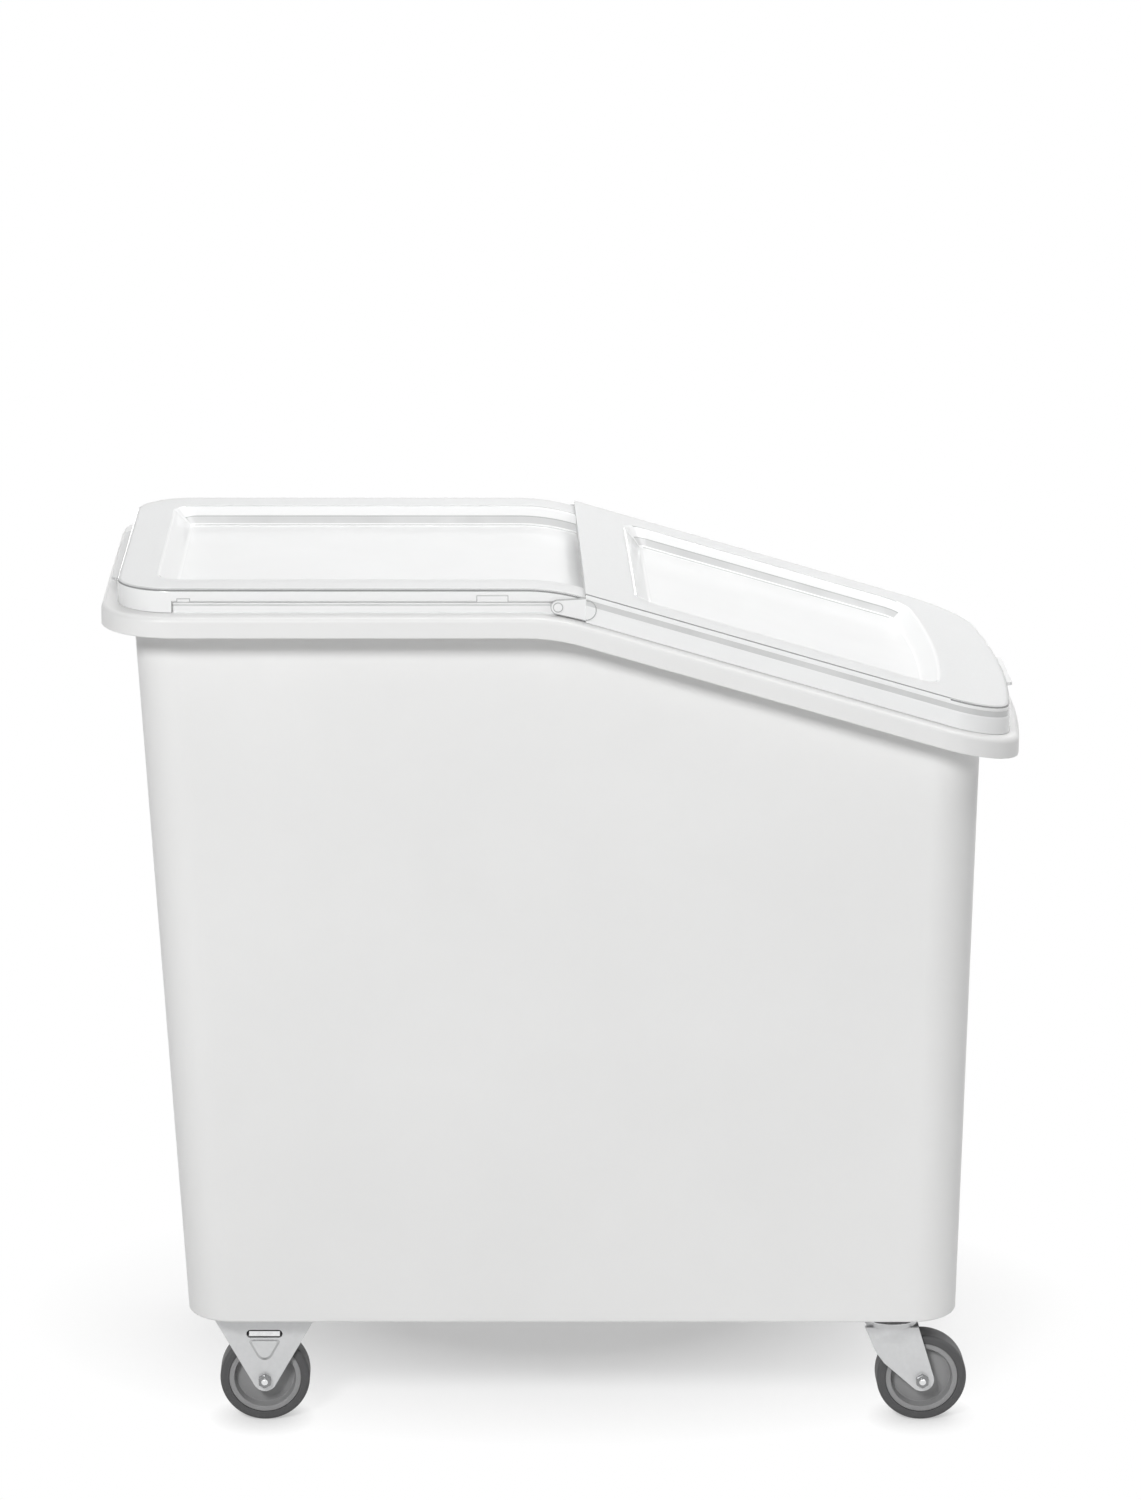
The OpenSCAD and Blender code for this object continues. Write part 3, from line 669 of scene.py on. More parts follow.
def zinc(name, tint):
    return surface(name, tint, patches=250, spread=0.05, roughness=(0.28, 0.36),
                   bumps=Bumps(350, height=0.00005, strength=0.05, stretch=(1, 1, 0.08)), Metallic=0.5)


def zinc_plate(finish):
    return zinc("zinc_plate", finish.zinc)


def zinc_fold(finish):
    return zinc("zinc_fold", shade(finish.zinc, 0.78))


def polished(name, tint):
    return surface(name, tint, patches=200, spread=0.1, roughness=(0.1, 0.2),
                   bumps=Bumps(400, height=0.00005, strength=0.2), Metallic=0.95)


def bright_plate(finish):
    return polished("bright_plate", finish.bright_steel)


def nut_plate(finish):
    return polished("nut_plate", finish.nut_steel)


def dark_groove(finish):
    return surface("dark_groove", finish.groove, patches=120, spread=0.2, roughness=(0.25, 0.4))


def turned_brass(finish):
    return surface("turned_brass", finish.brass, patches=150, spread=0.12, roughness=(0.22, 0.36),
                   bumps=Bumps(80, height=0.00005, strength=0.3, stretch=(1, 1, 20)), Metallic=1)


def grey_plastic(finish):
    return surface("grey_plastic", finish.core_grey, patches=60, spread=0.08, roughness=(0.36, 0.5),
                   bumps=Bumps(900, height=0.0001, strength=0.3))


def tyre_rubber(finish):
    return surface("tyre_rubber", finish.tyre_grey, patches=90, spread=0.16, roughness=(0.5, 0.68),
                   bumps=Bumps(1200, height=0.0001, strength=0.4))


# Shapes


def rim_drop(tub, x):
    """Height that the rim has lost at a place along the bin."""
    start = tub.bend_x - tub.bend_r * math.tan(tub.slope / 2)
    end = start + tub.bend_r * math.sin(tub.slope)
    if x < start:
        return 0
    if x < end:
        return tub.bend_r - math.sqrt(tub.bend_r ** 2 - (x - start) ** 2)
    return (x - tub.bend_x) * math.tan(tub.slope)


def bend_places(tub, steps=10):
    start = tub.bend_x - tub.bend_r * math.tan(tub.slope / 2)
    return [start + tub.bend_r * math.sin(tub.slope) * i / steps for i in range(steps + 1)]


def in_front(face):
    return centre_of(face).x > FRONT_PART


def bow(radius, y):
    return radius - math.sqrt(radius ** 2 - y ** 2)


def rim_height(tub):
    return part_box("bin_tub")[1].z - tub.lip_h


def rim_plan(tub):
    low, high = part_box("bin_tub")
    return Plan(low.x, -low.x, high.y, tub.rim_corner)


def tub_plans(tub):
    """Plans of the rim, of the walls at the mouth and of the walls at the base."""
    rim = rim_plan(tub)
    mouth = Plan(rim.rear + tub.rim_over, rim.front - tub.front_over, rim.half - tub.rim_over,
                 tub.mouth_corner)
    base = Plan(mouth.rear + tub.rear_lean, mouth.front - tub.front_lean, mouth.half - tub.side_lean,
                tub.base_corner)
    return rim, mouth, base


def model_tub(tub, casters):
    rim, mouth, base = tub_plans(tub)
    foot_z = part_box("bin_tub")[0].z
    rim_z = rim_height(tub)
    under_z = rim_z - tub.rim_t
    edge_z = rim_z - tub.rim_h
    lip_z = rim_z + tub.lip_h
    floor_z = foot_z + tub.foot_h + tub.floor_t
    rim_in = grown(rim, -tub.rim_t)
    soft = 0.0012
    foot_bow = 3
    # Each outline with its height and with the radius and the steps of its rounding
    outlines = [
        (grown(base, -tub.foot_w), foot_z + tub.foot_h, None),
        (grown(base, -tub.foot_w), foot_z, None),
        (base, foot_z, (tub.foot_edge, 4)),
        (mouth, under_z, (soft, 2)),
        (rim_in, under_z, None),
        (rim_in, edge_z, (soft, 2)),
        (rim, edge_z, (soft, 3)),
        (rim, rim_z, (tub.rim_edge, 5)),
        (mouth, rim_z, (soft, 2)),
        (mouth, lip_z, (soft, 3)),
        (grown(mouth, -tub.wall), lip_z, (soft, 3)),
        (grown(base, -tub.wall), floor_z, (tub.base_edge, 5)),
    ]
    piece = open_piece("moulded_tub")
    loft([(plan, z) for plan, z, _ in outlines], caps=(1, len(outlines)))
    for mark, (_, _, rounding) in enumerate(outlines, 1):
        if rounding:
            round_outline(mark, *rounding)
    cut_across(X, bend_places(tub))
    cut_across(Y, BOW_PLACES, in_front)

    def bent(p):
        """Bows the front, less towards the foot, and lets the rim drop along its bend and slope."""
        up = min(max((p.z - foot_z) / (edge_z - foot_z), 0), 1)
        bow_r = tub.bow_r * (foot_bow + (1 - foot_bow) * up)
        x = p.x - (bow(bow_r, p.y) if p.x > FRONT_PART else 0)
        return Vector((x, p.y, p.z - (rim_drop(tub, x) if p.z > edge_z - NEAR else 0)))

    move_points(bent)
    drop_marks()
    object_mode()
    cut_with(piece, pocket_cutter(casters, foot_z))
    edit_mode()
    add_underside(tub, casters, base, foot_z)
    close_piece(piece)
    return piece


def caster_pads(casters):
    """Middle and length of each of the four caster plates."""
    return [(x, side * casters.place_y, length) for side in (-1, 1)
            for x, length in ((casters.fixed_x, casters.fixed_l), (casters.swivel_x, casters.swivel_l))]


def pocket_cutter(casters, foot_z):
    """Four plates with some room round them, to cut the foot away above the caster plates."""
    room = 0.0008
    start = foot_z - 0.001
    cutter = open_piece("pocket_cutter")
    for x, y, length in caster_pads(casters):
        half_l, half_w = length / 2 + room, casters.plate_w / 2 + room
        add_sheet((x - half_l, y - half_w, start), (x + half_l, y + half_w, start), Z)
        round_corners(casters.plate_r + room, steps=6)
        raise_solid((0, 0, casters.height - start))
    object_mode()
    return cutter


def add_block(low, high, edge, steps):
    """Adds a block with rounded edges between two corners."""
    low, high = Vector(low), Vector(high)
    bpy.ops.mesh.primitive_cube_add(size=1, location=(0, 0, 0))
    bpy.ops.transform.resize(value=high - low, center_override=(0, 0, 0))
    bpy.ops.transform.translate(value=(low + high) / 2)
    bpy.ops.mesh.bevel(offset=edge, segments=steps, affect="EDGES")


def add_underside(tub, casters, base, foot_z):
    """Ribs and caster pads in the hollow under the floor, sunk a little into the floor and the foot."""
    into_floor, into_foot = 0.0003, 0.001
    rib_edge, pad_edge = 0.0005, 0.0008
    bays = 4
    top = foot_z + tub.foot_h + into_floor
    rib_z = foot_z + tub.base_edge / 2
    inner = grown(base, into_foot - tub.foot_w)
    rib_y = casters.place_y - casters.plate_w / 2 - tub.foot_w
    half_t = tub.rib_t / 2
    for y in (-rib_y, 0, rib_y):
        add_block((inner.rear, y - half_t, rib_z), (inner.front, y + half_t, top), rib_edge, steps=1)
    for i in range(1, bays):
        x = inner.rear + (inner.front - inner.rear) * i / bays
        add_block((x, -inner.half, rib_z), (x + tub.rib_t, inner.half, top), rib_edge, steps=1)
    for x, y, length in caster_pads(casters):
        half_l, half_w = length / 2, casters.plate_w / 2
        add_block((x - half_l, y - half_w, casters.height), (x + half_l, y + half_w, top), pad_edge, steps=2)


def add_sheet(low, high, normal_axis):
    """Adds a flat sheet between two corners that share one coordinate."""
    turns = {Y: (math.pi / 2, 0, 0), Z: (0, 0, 0)}
    low, high = Vector(low), Vector(high)
    size = high - low
    size[normal_axis] = 1
    bpy.ops.mesh.primitive_plane_add(size=1, location=(0, 0, 0), rotation=turns[normal_axis])
    bpy.ops.transform.resize(value=size, center_override=(0, 0, 0))
    bpy.ops.transform.translate(value=(low + high) / 2)


def lid_finish(face, loops):
    """Material of one face of a lid shell, from the outlines that it lies between."""
    up = face.normal.z
    flat = up > 0.97
    slanted = 0.84 < up < 0.97
    along = abs(face.normal.y) > 0.3
    if loops == {SKIRT_TOP}:
        return CLEAR if up < 0.4 else EDGE if up < 0.7 else FROSTED
    if loops == {SKIRT_TOP, PANEL_TOP} or flat and loops == {PANEL_TOP}:
        return FROSTED
    if flat and loops == {PANEL_EDGE}:
        return PANEL
    if along and loops == {STEP_END, PANEL_EDGE}:
        return SHADED
    if along and (loops == {WALL_STEP, STEP_END} or slanted and len(loops) == 1):
        return THIN
    return CLEAR


def finish_faces():
    """Gives the faces of an open lid shell their materials."""
    mesh = edit_mesh()
    layer = marks(mesh)
    for face in mesh.faces:
        face.material_index = lid_finish(face, {point[layer] for point in face.verts})
    refresh()


def step_skirt(lids, top):
    """Shades the upper part of an open skirt and sets the lower part out over a small slanted ledge."""
    ledge_w = 0.0009
    wall_z = top - lids.edge
    band = wall_z - 0.0059, wall_z - 0.0011
    ledge = wall_z - 0.0078, wall_z - 0.0062

    def upright(face):
        return abs(face.normal.z) < 0.1

    cut_across(Z, [*band, *ledge], upright)
    mesh = edit_mesh()
    mesh.normal_update()
    for face in mesh.faces:
        if upright(face) and band[0] < centre_of(face).z < band[1]:
            face.material_index = SHADED
    lower = [v for v in mesh.verts if v.co.z < ledge[0] + NEAR and all(upright(f) for f in v.link_faces)]
    for point in lower:
        point.co.xy += point.normal.xy * ledge_w
    refresh()


def loft_lid(lids, skirt, panel, bottom, top):
    """Lofts a lid shell from its skirt over the band and down the stepped wall to the sunken panel."""
    step_start, step_end = 0.5, 0.55
    band_edge, panel_edge = 0.002, 0.0025

    def on_wall(share):
        return grown(panel, -share * lids.recess_run), top - share * lids.recess_d

    loft([(skirt, bottom), (skirt, top), (panel, top), on_wall(step_start), on_wall(step_end), on_wall(1)],
         caps=(PANEL_EDGE,))
    round_outline(SKIRT_TOP, lids.edge, steps=4)
    round_outline(PANEL_TOP, band_edge, steps=3)
    round_outline(PANEL_EDGE, panel_edge, steps=3)


def add_finger_lip(edge_x, reach, length, z, roundness):
    """Adds a frosted lip with rounded corners to a lid's edge, to the rear where its reach is below 0."""
    overlap = math.copysign(0.001, reach)
    first, last = sorted((edge_x - overlap, edge_x + reach))
    add_sheet((first, -length / 2, z), (last, length / 2, z), Z)
    pick("VERT", lambda v: abs(v.co.x - edge_x - reach) < NEAR)
    round_corners(abs(reach) * roundness, steps=6)
    finish_selected(FROSTED)


def model_rear_lid(tub, lids, finishes):
    """Rear lid, lofted past the seam and cut there."""
    past_seam = lids.seam_x + 0.09
    lip_drop = 0.0075
    track_room = 0.001
    rim = rim_plan(tub)
    rim_z = rim_height(tub)
    top = rim_z + lids.rear_h
    end = lids.seam_x + lids.tuck
    skirt = Plan(rim.rear + lids.rear_in, past_seam, lids.rear_half, lids.corner)
    panel = Plan(skirt.rear + lids.rear_band, past_seam - lids.side_band, skirt.half - lids.side_band,
                 lids.recess_corner)
    piece = open_piece("rear_lid_shell")
    paint(piece, *finishes)
    loft_lid(lids, skirt, panel, rim_z + lids.gap, top)
    cut_across(X, bend_places(tub))
    finish_faces()
    bpy.ops.mesh.select_all(action="SELECT")
    bpy.ops.mesh.bisect(plane_co=(end, 0, 0), plane_no=(1, 0, 0), clear_outer=True)
    move_points(lambda p: Vector((p.x, p.y, p.z - rim_drop(tub, p.x))))
    press_track(lids, rim_z, skirt.rear + skirt.corner + track_room)
    round_nose(lids, end)
    drop_marks()
    add_finger_lip(skirt.rear, -lids.lip_out, lids.lip_l, top - lids.edge - lip_drop, roundness=0.8)
    thicken(piece, lids.thick)
    close_piece(piece, edge=0.0004)
    return piece


def press_track(lids, rim_z, rear):
    """Presses the pins' track with its two detents into the lower part of both skirts."""
    track_z = rim_z + lids.pin_up + lids.pin_r
    front = lids.pin_x + lids.pin_r
    groove = track_z - 0.004, track_z - 0.0024

    def detent(behind, length, height):
        """First and last place of a detent along the track, and its top."""
        return lids.pin_x - behind - length / 2, lids.pin_x - behind + length / 2, track_z + height

    detents = [detent(behind=0.052, length=0.024, height=0.0045),
               detent(behind=lids.track_l - 0.022, length=0.0094, height=0.002)]

    def on_skirt(face):
        return abs(face.normal.y) > 0.9 and abs(centre_of(face).y) > lids.rear_half - 0.001

    def in_track(place):
        return rear < place.x < front and place.z < track_z

    def pressed(face):
        return on_skirt(face) and in_track(centre_of(face))

    def beside_detent(face):
        x = centre_of(face).x
        return on_skirt(face) and any(first - LINE_W < x < last + LINE_W for first, last, _ in detents)

    def in_detent(place, room=0):
        return any(first - room < place.x < last + room and place.z < high + room
                   for first, last, high in detents)

    def in_line(place):
        near = rear - LINE_W < place.x < front and place.z < track_z + LINE_W
        return (near or in_detent(place, LINE_W)) and not in_track(place)

    def line_finish(place):
        if in_detent(place):
            return CLEAR
        return THIN if in_detent(place, LINE_W) or place.x < rear else SHADED

    cut_across(Z, [track_z, track_z + LINE_W], on_skirt)
    cut_across(X, [rear - LINE_W, rear, front], on_skirt)
    for first, last, _ in detents:
        cut_across(X, [first - LINE_W, first, last, last + LINE_W], on_skirt)
    for _, _, high in detents:
        cut_across(Z, [high, high + LINE_W], beside_detent)
    cut_across(Z, groove, pressed)
    for face in [f for f in edit_mesh().faces if on_skirt(f)]:
        place = centre_of(face)
        if in_line(place):
            face.material_index = line_finish(place)
        elif in_track(place) and groove[0] < place.z < groove[1]:
            face.material_index = SHADED
    for side in (-1, 1):
        pick("FACE", lambda f: pressed(f) and centre_of(f).y * side > 0)
        push((0, -side * lids.track_d, 0))
    pick("FACE", lambda f: f.normal.z < -0.5 and centre_of(f).z < groove[0]
         and abs(centre_of(f).y) > lids.rear_half - 2 * lids.track_d)
    bpy.ops.mesh.delete(type="FACE")


def round_nose(lids, end):
    """Rounds the lower front corners of the rear lid's skirts."""
    nose_r = 0.009

    def at_end(point):
        return point.co.x > end - NEAR and abs(point.co.y) > lids.rear_half - NEAR

    low = min(v.co.z for v in edit_mesh().verts if at_end(v))
    pick("VERT", lambda v: at_end(v) and v.co.z < low + NEAR)
    bpy.ops.mesh.bevel(offset=nose_r, segments=8, affect="VERTICES", clamp_overlap=False)


def model_front_lid(tub, lids, finishes):
    """Front lid, lofted from behind the seam and cut there, with a lip down behind its panel."""
    behind_seam = lids.seam_x - 0.07
    lip_depth, lip_room = 0.013, 0.001
    rim = rim_plan(tub)
    rim_z = rim_height(tub)
    top = rim_z + lids.rear_h + lids.front_rise
    half = lids.rear_half + lids.skirt_clear + lids.thick
    skirt = Plan(behind_seam, rim.front - lids.front_in, half, lids.corner)
    panel = Plan(lids.seam_x + lids.seam_band, skirt.front - lids.front_band, half - lids.side_band,
                 lids.recess_corner)
    piece = open_piece("front_lid_shell")
    paint(piece, *finishes)
    loft_lid(lids, skirt, panel, rim_z + lids.gap, top)
    finish_faces()
    step_skirt(lids, top)
    bpy.ops.mesh.select_all(action="SELECT")
    bpy.ops.mesh.bisect(plane_co=(lids.seam_x, 0, 0), plane_no=(1, 0, 0), clear_inner=True)
    cut_across(Y, BOW_PLACES, in_front)
    lip_half = lids.rear_half - lids.side_band - lids.recess_run - lip_room
    cut_across(Y, (-lip_half, lip_half), lambda f: f.normal.z > 0.9 and centre_of(f).x < panel.rear)
    pick("EDGE", lambda e: middle(e).x < lids.seam_x + NEAR and abs(middle(e).y) < lip_half)
    push((0, 0, -lip_depth))

    def sloped(p):
        x = p.x - (bow(tub.bow_r, p.y) if p.x > FRONT_PART else 0)
        return Vector((x, p.y, p.z - (x - tub.bend_x) * math.tan(tub.slope)))

    move_points(sloped)
    drop_marks()
    add_ears(tub, lids, half, rim_z)
    tab_z = top - (skirt.front - tub.bend_x) * math.tan(tub.slope) - lids.edge
    add_finger_lip(skirt.front, lids.tab_out, lids.tab_l, tab_z, roundness=0.9)
    thicken(piece, lids.thick)
    add_pins(lids, half, rim_z)
    low, high = seam_heights(tub, lids, rim_z)
    for side in (-1, 1):
        add_nose_line(lids, side, half, (high + low) / 2)
    close_piece(piece, edge=0.0004)
    return piece


def seam_heights(tub, lids, rim_z):
    """Heights of the bottom and the top of the front lid's skirt at the seam."""
    seam_z = rim_z - rim_drop(tub, lids.seam_x)
    return seam_z + 2 * lids.gap, seam_z + lids.rear_h + lids.front_rise - lids.edge


def add_ears(tub, lids, half, rim_z):
    """Adds an ear behind each skirt: a round end for the pin, stretched into the skirt."""
    sunk, overlap = 0.0001, 0.0015
    round_r = lids.pin_r + lids.ear_wall
    pin_z = rim_z + lids.pin_up
    low, high = seam_heights(tub, lids, rim_z)
    for side in (-1, 1):
        bpy.ops.mesh.primitive_circle_add(vertices=PIN_SIDES, radius=round_r, fill_type="NGON",
                                          location=(lids.pin_x, side * (half - sunk), pin_z),
                                          rotation=(side * -math.pi / 2, 0, 0))
        mesh = edit_mesh()
        for point in [v for v in mesh.verts if v.select and v.co.x > lids.pin_x + NEAR]:
            share = (point.co.z - pin_z) / round_r
            point.co.x = lids.seam_x + overlap
            point.co.z = (high + low) / 2 + share * (high - low) / 2
        refresh()
        bpy.ops.mesh.select_linked()
        ear = next(f for f in edit_mesh().faces if f.select)
        ear.normal_update()
        if ear.normal.y * side < 0:
            ear.normal_flip()
        ear.material_index = THIN
        refresh()
        bpy.ops.mesh.inset(thickness=LINE_W)
        finish_selected(CLEAR)


def add_nose_line(lids, side, half, z, steps=16):
    """Adds a thin half round on a skirt, where the rear lid's rounded end shows through."""
    radius = 0.0085
    foot, height = 0.0005, 0.0015

    def arc(r):
        angles = [math.pi * (0.5 - i / steps) for i in range(steps + 1)]
        return [(lids.seam_x + r * math.cos(a), side * (half - foot), z + r * math.sin(a)) for a in angles]

    draw_profile([*arc(radius), *reversed(arc(radius - LINE_W))])
    raise_solid((0, side * (foot + height), 0))
    finish_selected(THIN)


def add_pins(lids, half, rim_z):
    """Adds the two hinge pins through the ears, with a low round boss outside."""
    boss, track_room = 0.0004, 0.0002
    length = boss + lids.thick + lids.skirt_clear + lids.track_d - track_room
    for side in (-1, 1):
        place = (lids.pin_x, side * (half + boss - length / 2), rim_z + lids.pin_up)
        bpy.ops.mesh.primitive_cylinder_add(vertices=PIN_SIDES, radius=lids.pin_r, depth=length,
                                            location=place, rotation=(math.pi / 2, 0, 0))
        finish_selected(THIN)
        pick("FACE", lambda f: len(f.verts) == PIN_SIDES and f.normal.y * side > 0.9
             and abs(centre_of(f).y) > half + boss / 2)
        bpy.ops.mesh.inset(thickness=LINE_W)
        finish_selected(CLEAR)


def round_end(first, second, centre, radius, steps=14):
    """Points round the far side of a circle, between the tangents from a first and from a second place."""
    def touch(place, turn):
        away = centre - place
        lean = math.atan2(away.y, away.x) + turn * math.asin(radius / away.length)
        return lean + turn * math.pi / 2

    start, end = touch(second, 1), touch(first, -1)
    sweep = (start - end) % math.tau
    angles = [start - sweep * i / steps for i in range(steps + 1)]
    return [(centre.x + radius * math.cos(a), centre.y + radius * math.sin(a)) for a in angles]


def model_fixed_fork(casters):
    into_plate = 0.0005
    slot_z = casters.wheel_r + 0.041
    plate_z = casters.height - casters.sheet
    half_l = casters.fixed_l / 2
    side_z = plate_z - casters.sheet
    end = round_end(Vector((-half_l, side_z)), Vector((half_l, side_z)), Vector((0, casters.wheel_r)),
                    casters.leg_end_r)
    top = plate_z + into_plate
    outline = [(-half_l, top), (half_l, top), (half_l, side_z), *end, (-half_l, side_z)]
    piece = open_piece("fixed_fork")
    for side in (-1, 1):
        draw_profile([(x, side * casters.fork_gap / 2, z) for x, z in outline])
        raise_solid((0, side * casters.sheet, 0))
    add_plate(casters, casters.fixed_l, plate_z)
    object_mode()
    cut_with(piece, slot_cutter(casters, slot_z))
    close_piece(piece, edge=0.0003)
    edit_mode()
    for side in (-1, 1):
        add_louvre(casters, slot_z, side)
        add_tongue(casters, slot_z, side)
    object_mode()
    bpy.ops.object.shade_smooth_by_angle(angle=SHARP)
    return piece


def add_plate(casters, length, z):
    """Adds a caster plate with rounded corners."""
    add_sheet((-length / 2, -casters.plate_w / 2, z), (length / 2, casters.plate_w / 2, z), Z)
    round_corners(casters.plate_r, steps=8)
    raise_solid((0, 0, casters.sheet))


def slot_cutter(casters, z):
    """A bar with round ends, across the fork."""
    reach = 0.05
    half_l, half_h = casters.slot_l / 2, casters.slot_h / 2
    cutter = open_piece("slot_cutter")
    add_sheet((-half_l, -reach, z - half_h), (half_l, -reach, z + half_h), Y)
    round_corners(half_h * 0.98, steps=8)
    raise_solid((0, 2 * reach, 0))
    object_mode()
    return cutter


def add_louvre(casters, slot_z, side):
    """Presses a wedge out of a leg under its slot, with darker sides."""
    sunk, height = 0.0005, 0.0022
    tip, corner = 0.0045, 0.0042
    under_slot, above_end = 0.0012, 0.007
    top_share, top_drop = 0.76, 0.004
    half = casters.slot_l / 2
    y = side * (casters.fork_gap / 2 + casters.sheet - sunk)
    top_z = slot_z - casters.slot_h / 2 - under_slot
    tip_z = casters.wheel_r + casters.leg_end_r + above_end
    draw_profile([(-half, y, top_z), (half, y, top_z), (tip, y, tip_z), (-tip, y, tip_z)])
    round_corners(corner, steps=6)
    push((0, side * height, 0))
    bpy.ops.transform.resize(value=(top_share, 1, top_share), center_override=(0, y, top_z - top_drop))
    close_solid()
    finish_selected(FOLD, lambda f: abs(f.normal.y) < 0.9)


def add_tongue(casters, slot_z, side):
    """Adds the bright tongue that leans back inside a slot."""
    end_room, thick, lean = 0.0022, 0.0005, 0.0003
    half = casters.slot_l / 2 - end_room
    face = casters.fork_gap / 2 + casters.sheet
    low, high = slot_z - 0.002, slot_z + 0.0018
    front, back = side * (face - 0.0004), side * (face - 0.0018)
    draw_profile([(-half, front, low), (half, front, low), (half, back, high), (-half, back, high)])
    raise_solid((0, -side * thick, -lean))
    finish_selected(BRIGHT)


def head_heights(casters):
    """Heights of a crown's top, of the plate's dust ring and of the crown's shoulder, under the plate."""
    crown = casters.height - casters.sheet - 0.0066
    return Head(crown, ring=crown - 0.0034, shoulder=crown - 0.008)


def add_swivel_legs(casters, shoulder_z, out):
    """Adds the two legs as upright faces with a rounded knee and a turned-in flange at the rear."""
    half = casters.head_r - 0.0015
    knee_r, near_knee = 0.008, 0.004
    flange, flange_lean, fold_r = 0.0045, 0.0004, 0.002
    knee = Vector((-half / 2, casters.wheel_r + 0.02))
    axle = Vector((casters.trail, casters.wheel_r))
    top = shoulder_z + 0.0002
    end = round_end(knee, Vector((half, shoulder_z)), axle, casters.leg_end_r)
    for side in (-1, 1):
        draw_profile([(x, side * out, z) for x, z in [(-half, top), (half, top), *end, tuple(knee)]])
        pick("VERT", lambda v: (v.co.xz - knee).length < NEAR)
        round_corners(knee_r, steps=6)
    pick("EDGE", lambda e: e.is_boundary and middle(e).x < knee.x + near_knee
         and knee.y - near_knee < middle(e).z < top - NEAR)
    bpy.ops.mesh.extrude_edges_move(TRANSFORM_OT_translate={"value": (0, 0, 0)})
    for point in [v for v in edit_mesh().verts if v.select]:
        point.co.y -= math.copysign(flange, point.co.y)
        point.co.x += flange_lean
    refresh()
    pick("EDGE", lambda e: len(e.link_faces) == 2 and abs(abs(middle(e).y) - out) < NEAR)
    bpy.ops.mesh.bevel(offset=fold_r, segments=4, affect="EDGES")


def flare_legs(shoulder_z, crown_r, out):
    """Runs the tops of the legs out to the round crown."""
    flare_h, cut_h, row_h, column_w = 0.015, 0.016, 0.0025, 0.003
    cut_across(Z, [shoulder_z - row_h * i for i in range(1, 7)])
    cut_across(X, [column_w * i for i in range(-6, 7)],
               lambda f: centre_of(f).z > shoulder_z - cut_h)

    def flared(p):
        share = min(max((p.z - shoulder_z + flare_h) / flare_h, 0), 1)
        share = share * share * (3 - 2 * share)
        reach = math.sqrt(max(crown_r ** 2 - p.x ** 2, out ** 2)) - out
        return Vector((p.x, p.y + math.copysign(reach * share, p.y), p.z)) if abs(p.y) > out - NEAR else p

    move_points(flared)


def turn_legs_outward():
    """Points the legs' faces outward, away from the wheel."""
    turn_outward()
    wrong = [f for f in edit_mesh().faces
             if abs(f.normal.y) > 0.9 and f.normal.y * centre_of(f).y < 0]
    bpy.ops.mesh.select_all(action="DESELECT")
    for face in wrong:
        face.select = True
    refresh()
    if wrong:
        bpy.ops.mesh.select_linked()
        bpy.ops.mesh.flip_normals()


def model_swivel_fork(casters):
    head = head_heights(casters)
    crown_r, crown_t = casters.head_r - 0.002, 0.003
    inner_r = crown_r - casters.sheet
    bore = 0.0063
    out = casters.fork_gap / 2 + casters.sheet
    piece = open_piece("swivel_fork")
    add_swivel_legs(casters, head.shoulder, out)
    flare_legs(head.shoulder, crown_r, out)
    turn_legs_outward()
    thicken(piece, casters.sheet)
    inner_z = head.crown - crown_t
    spin_profile([(bore, 0, head.crown), (crown_r, 0, head.crown), (crown_r, 0, head.shoulder),
                  (inner_r, 0, head.shoulder), (inner_r, 0, inner_z), (bore, 0, inner_z)], UP, edge=0.0005)
    close_piece(piece, edge=0.0004)
    return piece


def model_swivel_plate(casters):
    """Top plate of a swivel caster with its upper race and the bulged dust ring round the fork's crown."""
    bulge, bore, steps = 0.0012, 0.006, 10
    plate_z = casters.height - casters.sheet
    ring_z = head_heights(casters).ring
    race_z, band_z = plate_z - 0.002, plate_z - 0.0086
    root_z = plate_z + 0.0003
    inner, neck = casters.head_r - 0.0014, casters.head_r - bulge
    ring = [(casters.head_r - bulge * (1 - 2 * i / steps) ** 2, 0, band_z + (ring_z - band_z) * i / steps)
            for i in range(1, steps + 1)]
    piece = open_piece("swivel_plate")
    add_plate(casters, casters.swivel_l, plate_z)
    spin_profile([(bore, 0, root_z), (neck, 0, root_z), (neck, 0, band_z), *ring, (inner, 0, ring_z),
                  (inner, 0, race_z), (bore, 0, race_z)], UP, steps=96)
    for face in edit_mesh().faces:
        if band_z - NEAR < centre_of(face).z < plate_z:
            face.material_index = GROOVE
    close_piece(piece, edge=0.0003)
    return piece


def model_core(casters):
    half_hub = casters.fork_gap / 2 - 0.0003
    half_ring = casters.tyre_w / 2 - 0.001
    half_web = casters.web_t / 2
    ring_r = casters.core_r - casters.ring_t
    flare, flare_h = 0.0016, 0.002
    fillet, draft = 0.002, 0.0008
    side = [(casters.bore_r, half_hub), (casters.hub_r, half_hub),
            (casters.hub_r + flare, half_web + flare_h), (ring_r - fillet, half_web),
            (ring_r - draft, half_ring), (casters.core_r, half_ring)]
    points = [(0, y, r) for r, y in side] + [(0, -y, r) for r, y in reversed(side)]
    piece = open_piece("wheel_core")
    spin_profile(points, ACROSS, edge=0.0007, steps=96)
    close_piece(piece)
    return piece


def model_tyre(casters):
    half = casters.tyre_w / 2
    shoulder = 0.0025
    cut = shoulder * 0.3
    points = [(0, half, casters.core_r), (0, half, casters.wheel_r - shoulder),
              (0, half - cut, casters.wheel_r - cut), (0, half - shoulder, casters.wheel_r)]
    points += [(0, -y, r) for _, y, r in reversed(points)]
    piece = open_piece("tyre")
    spin_profile(points, ACROSS, edge=0.0004, steps=120)
    close_piece(piece)
    return piece


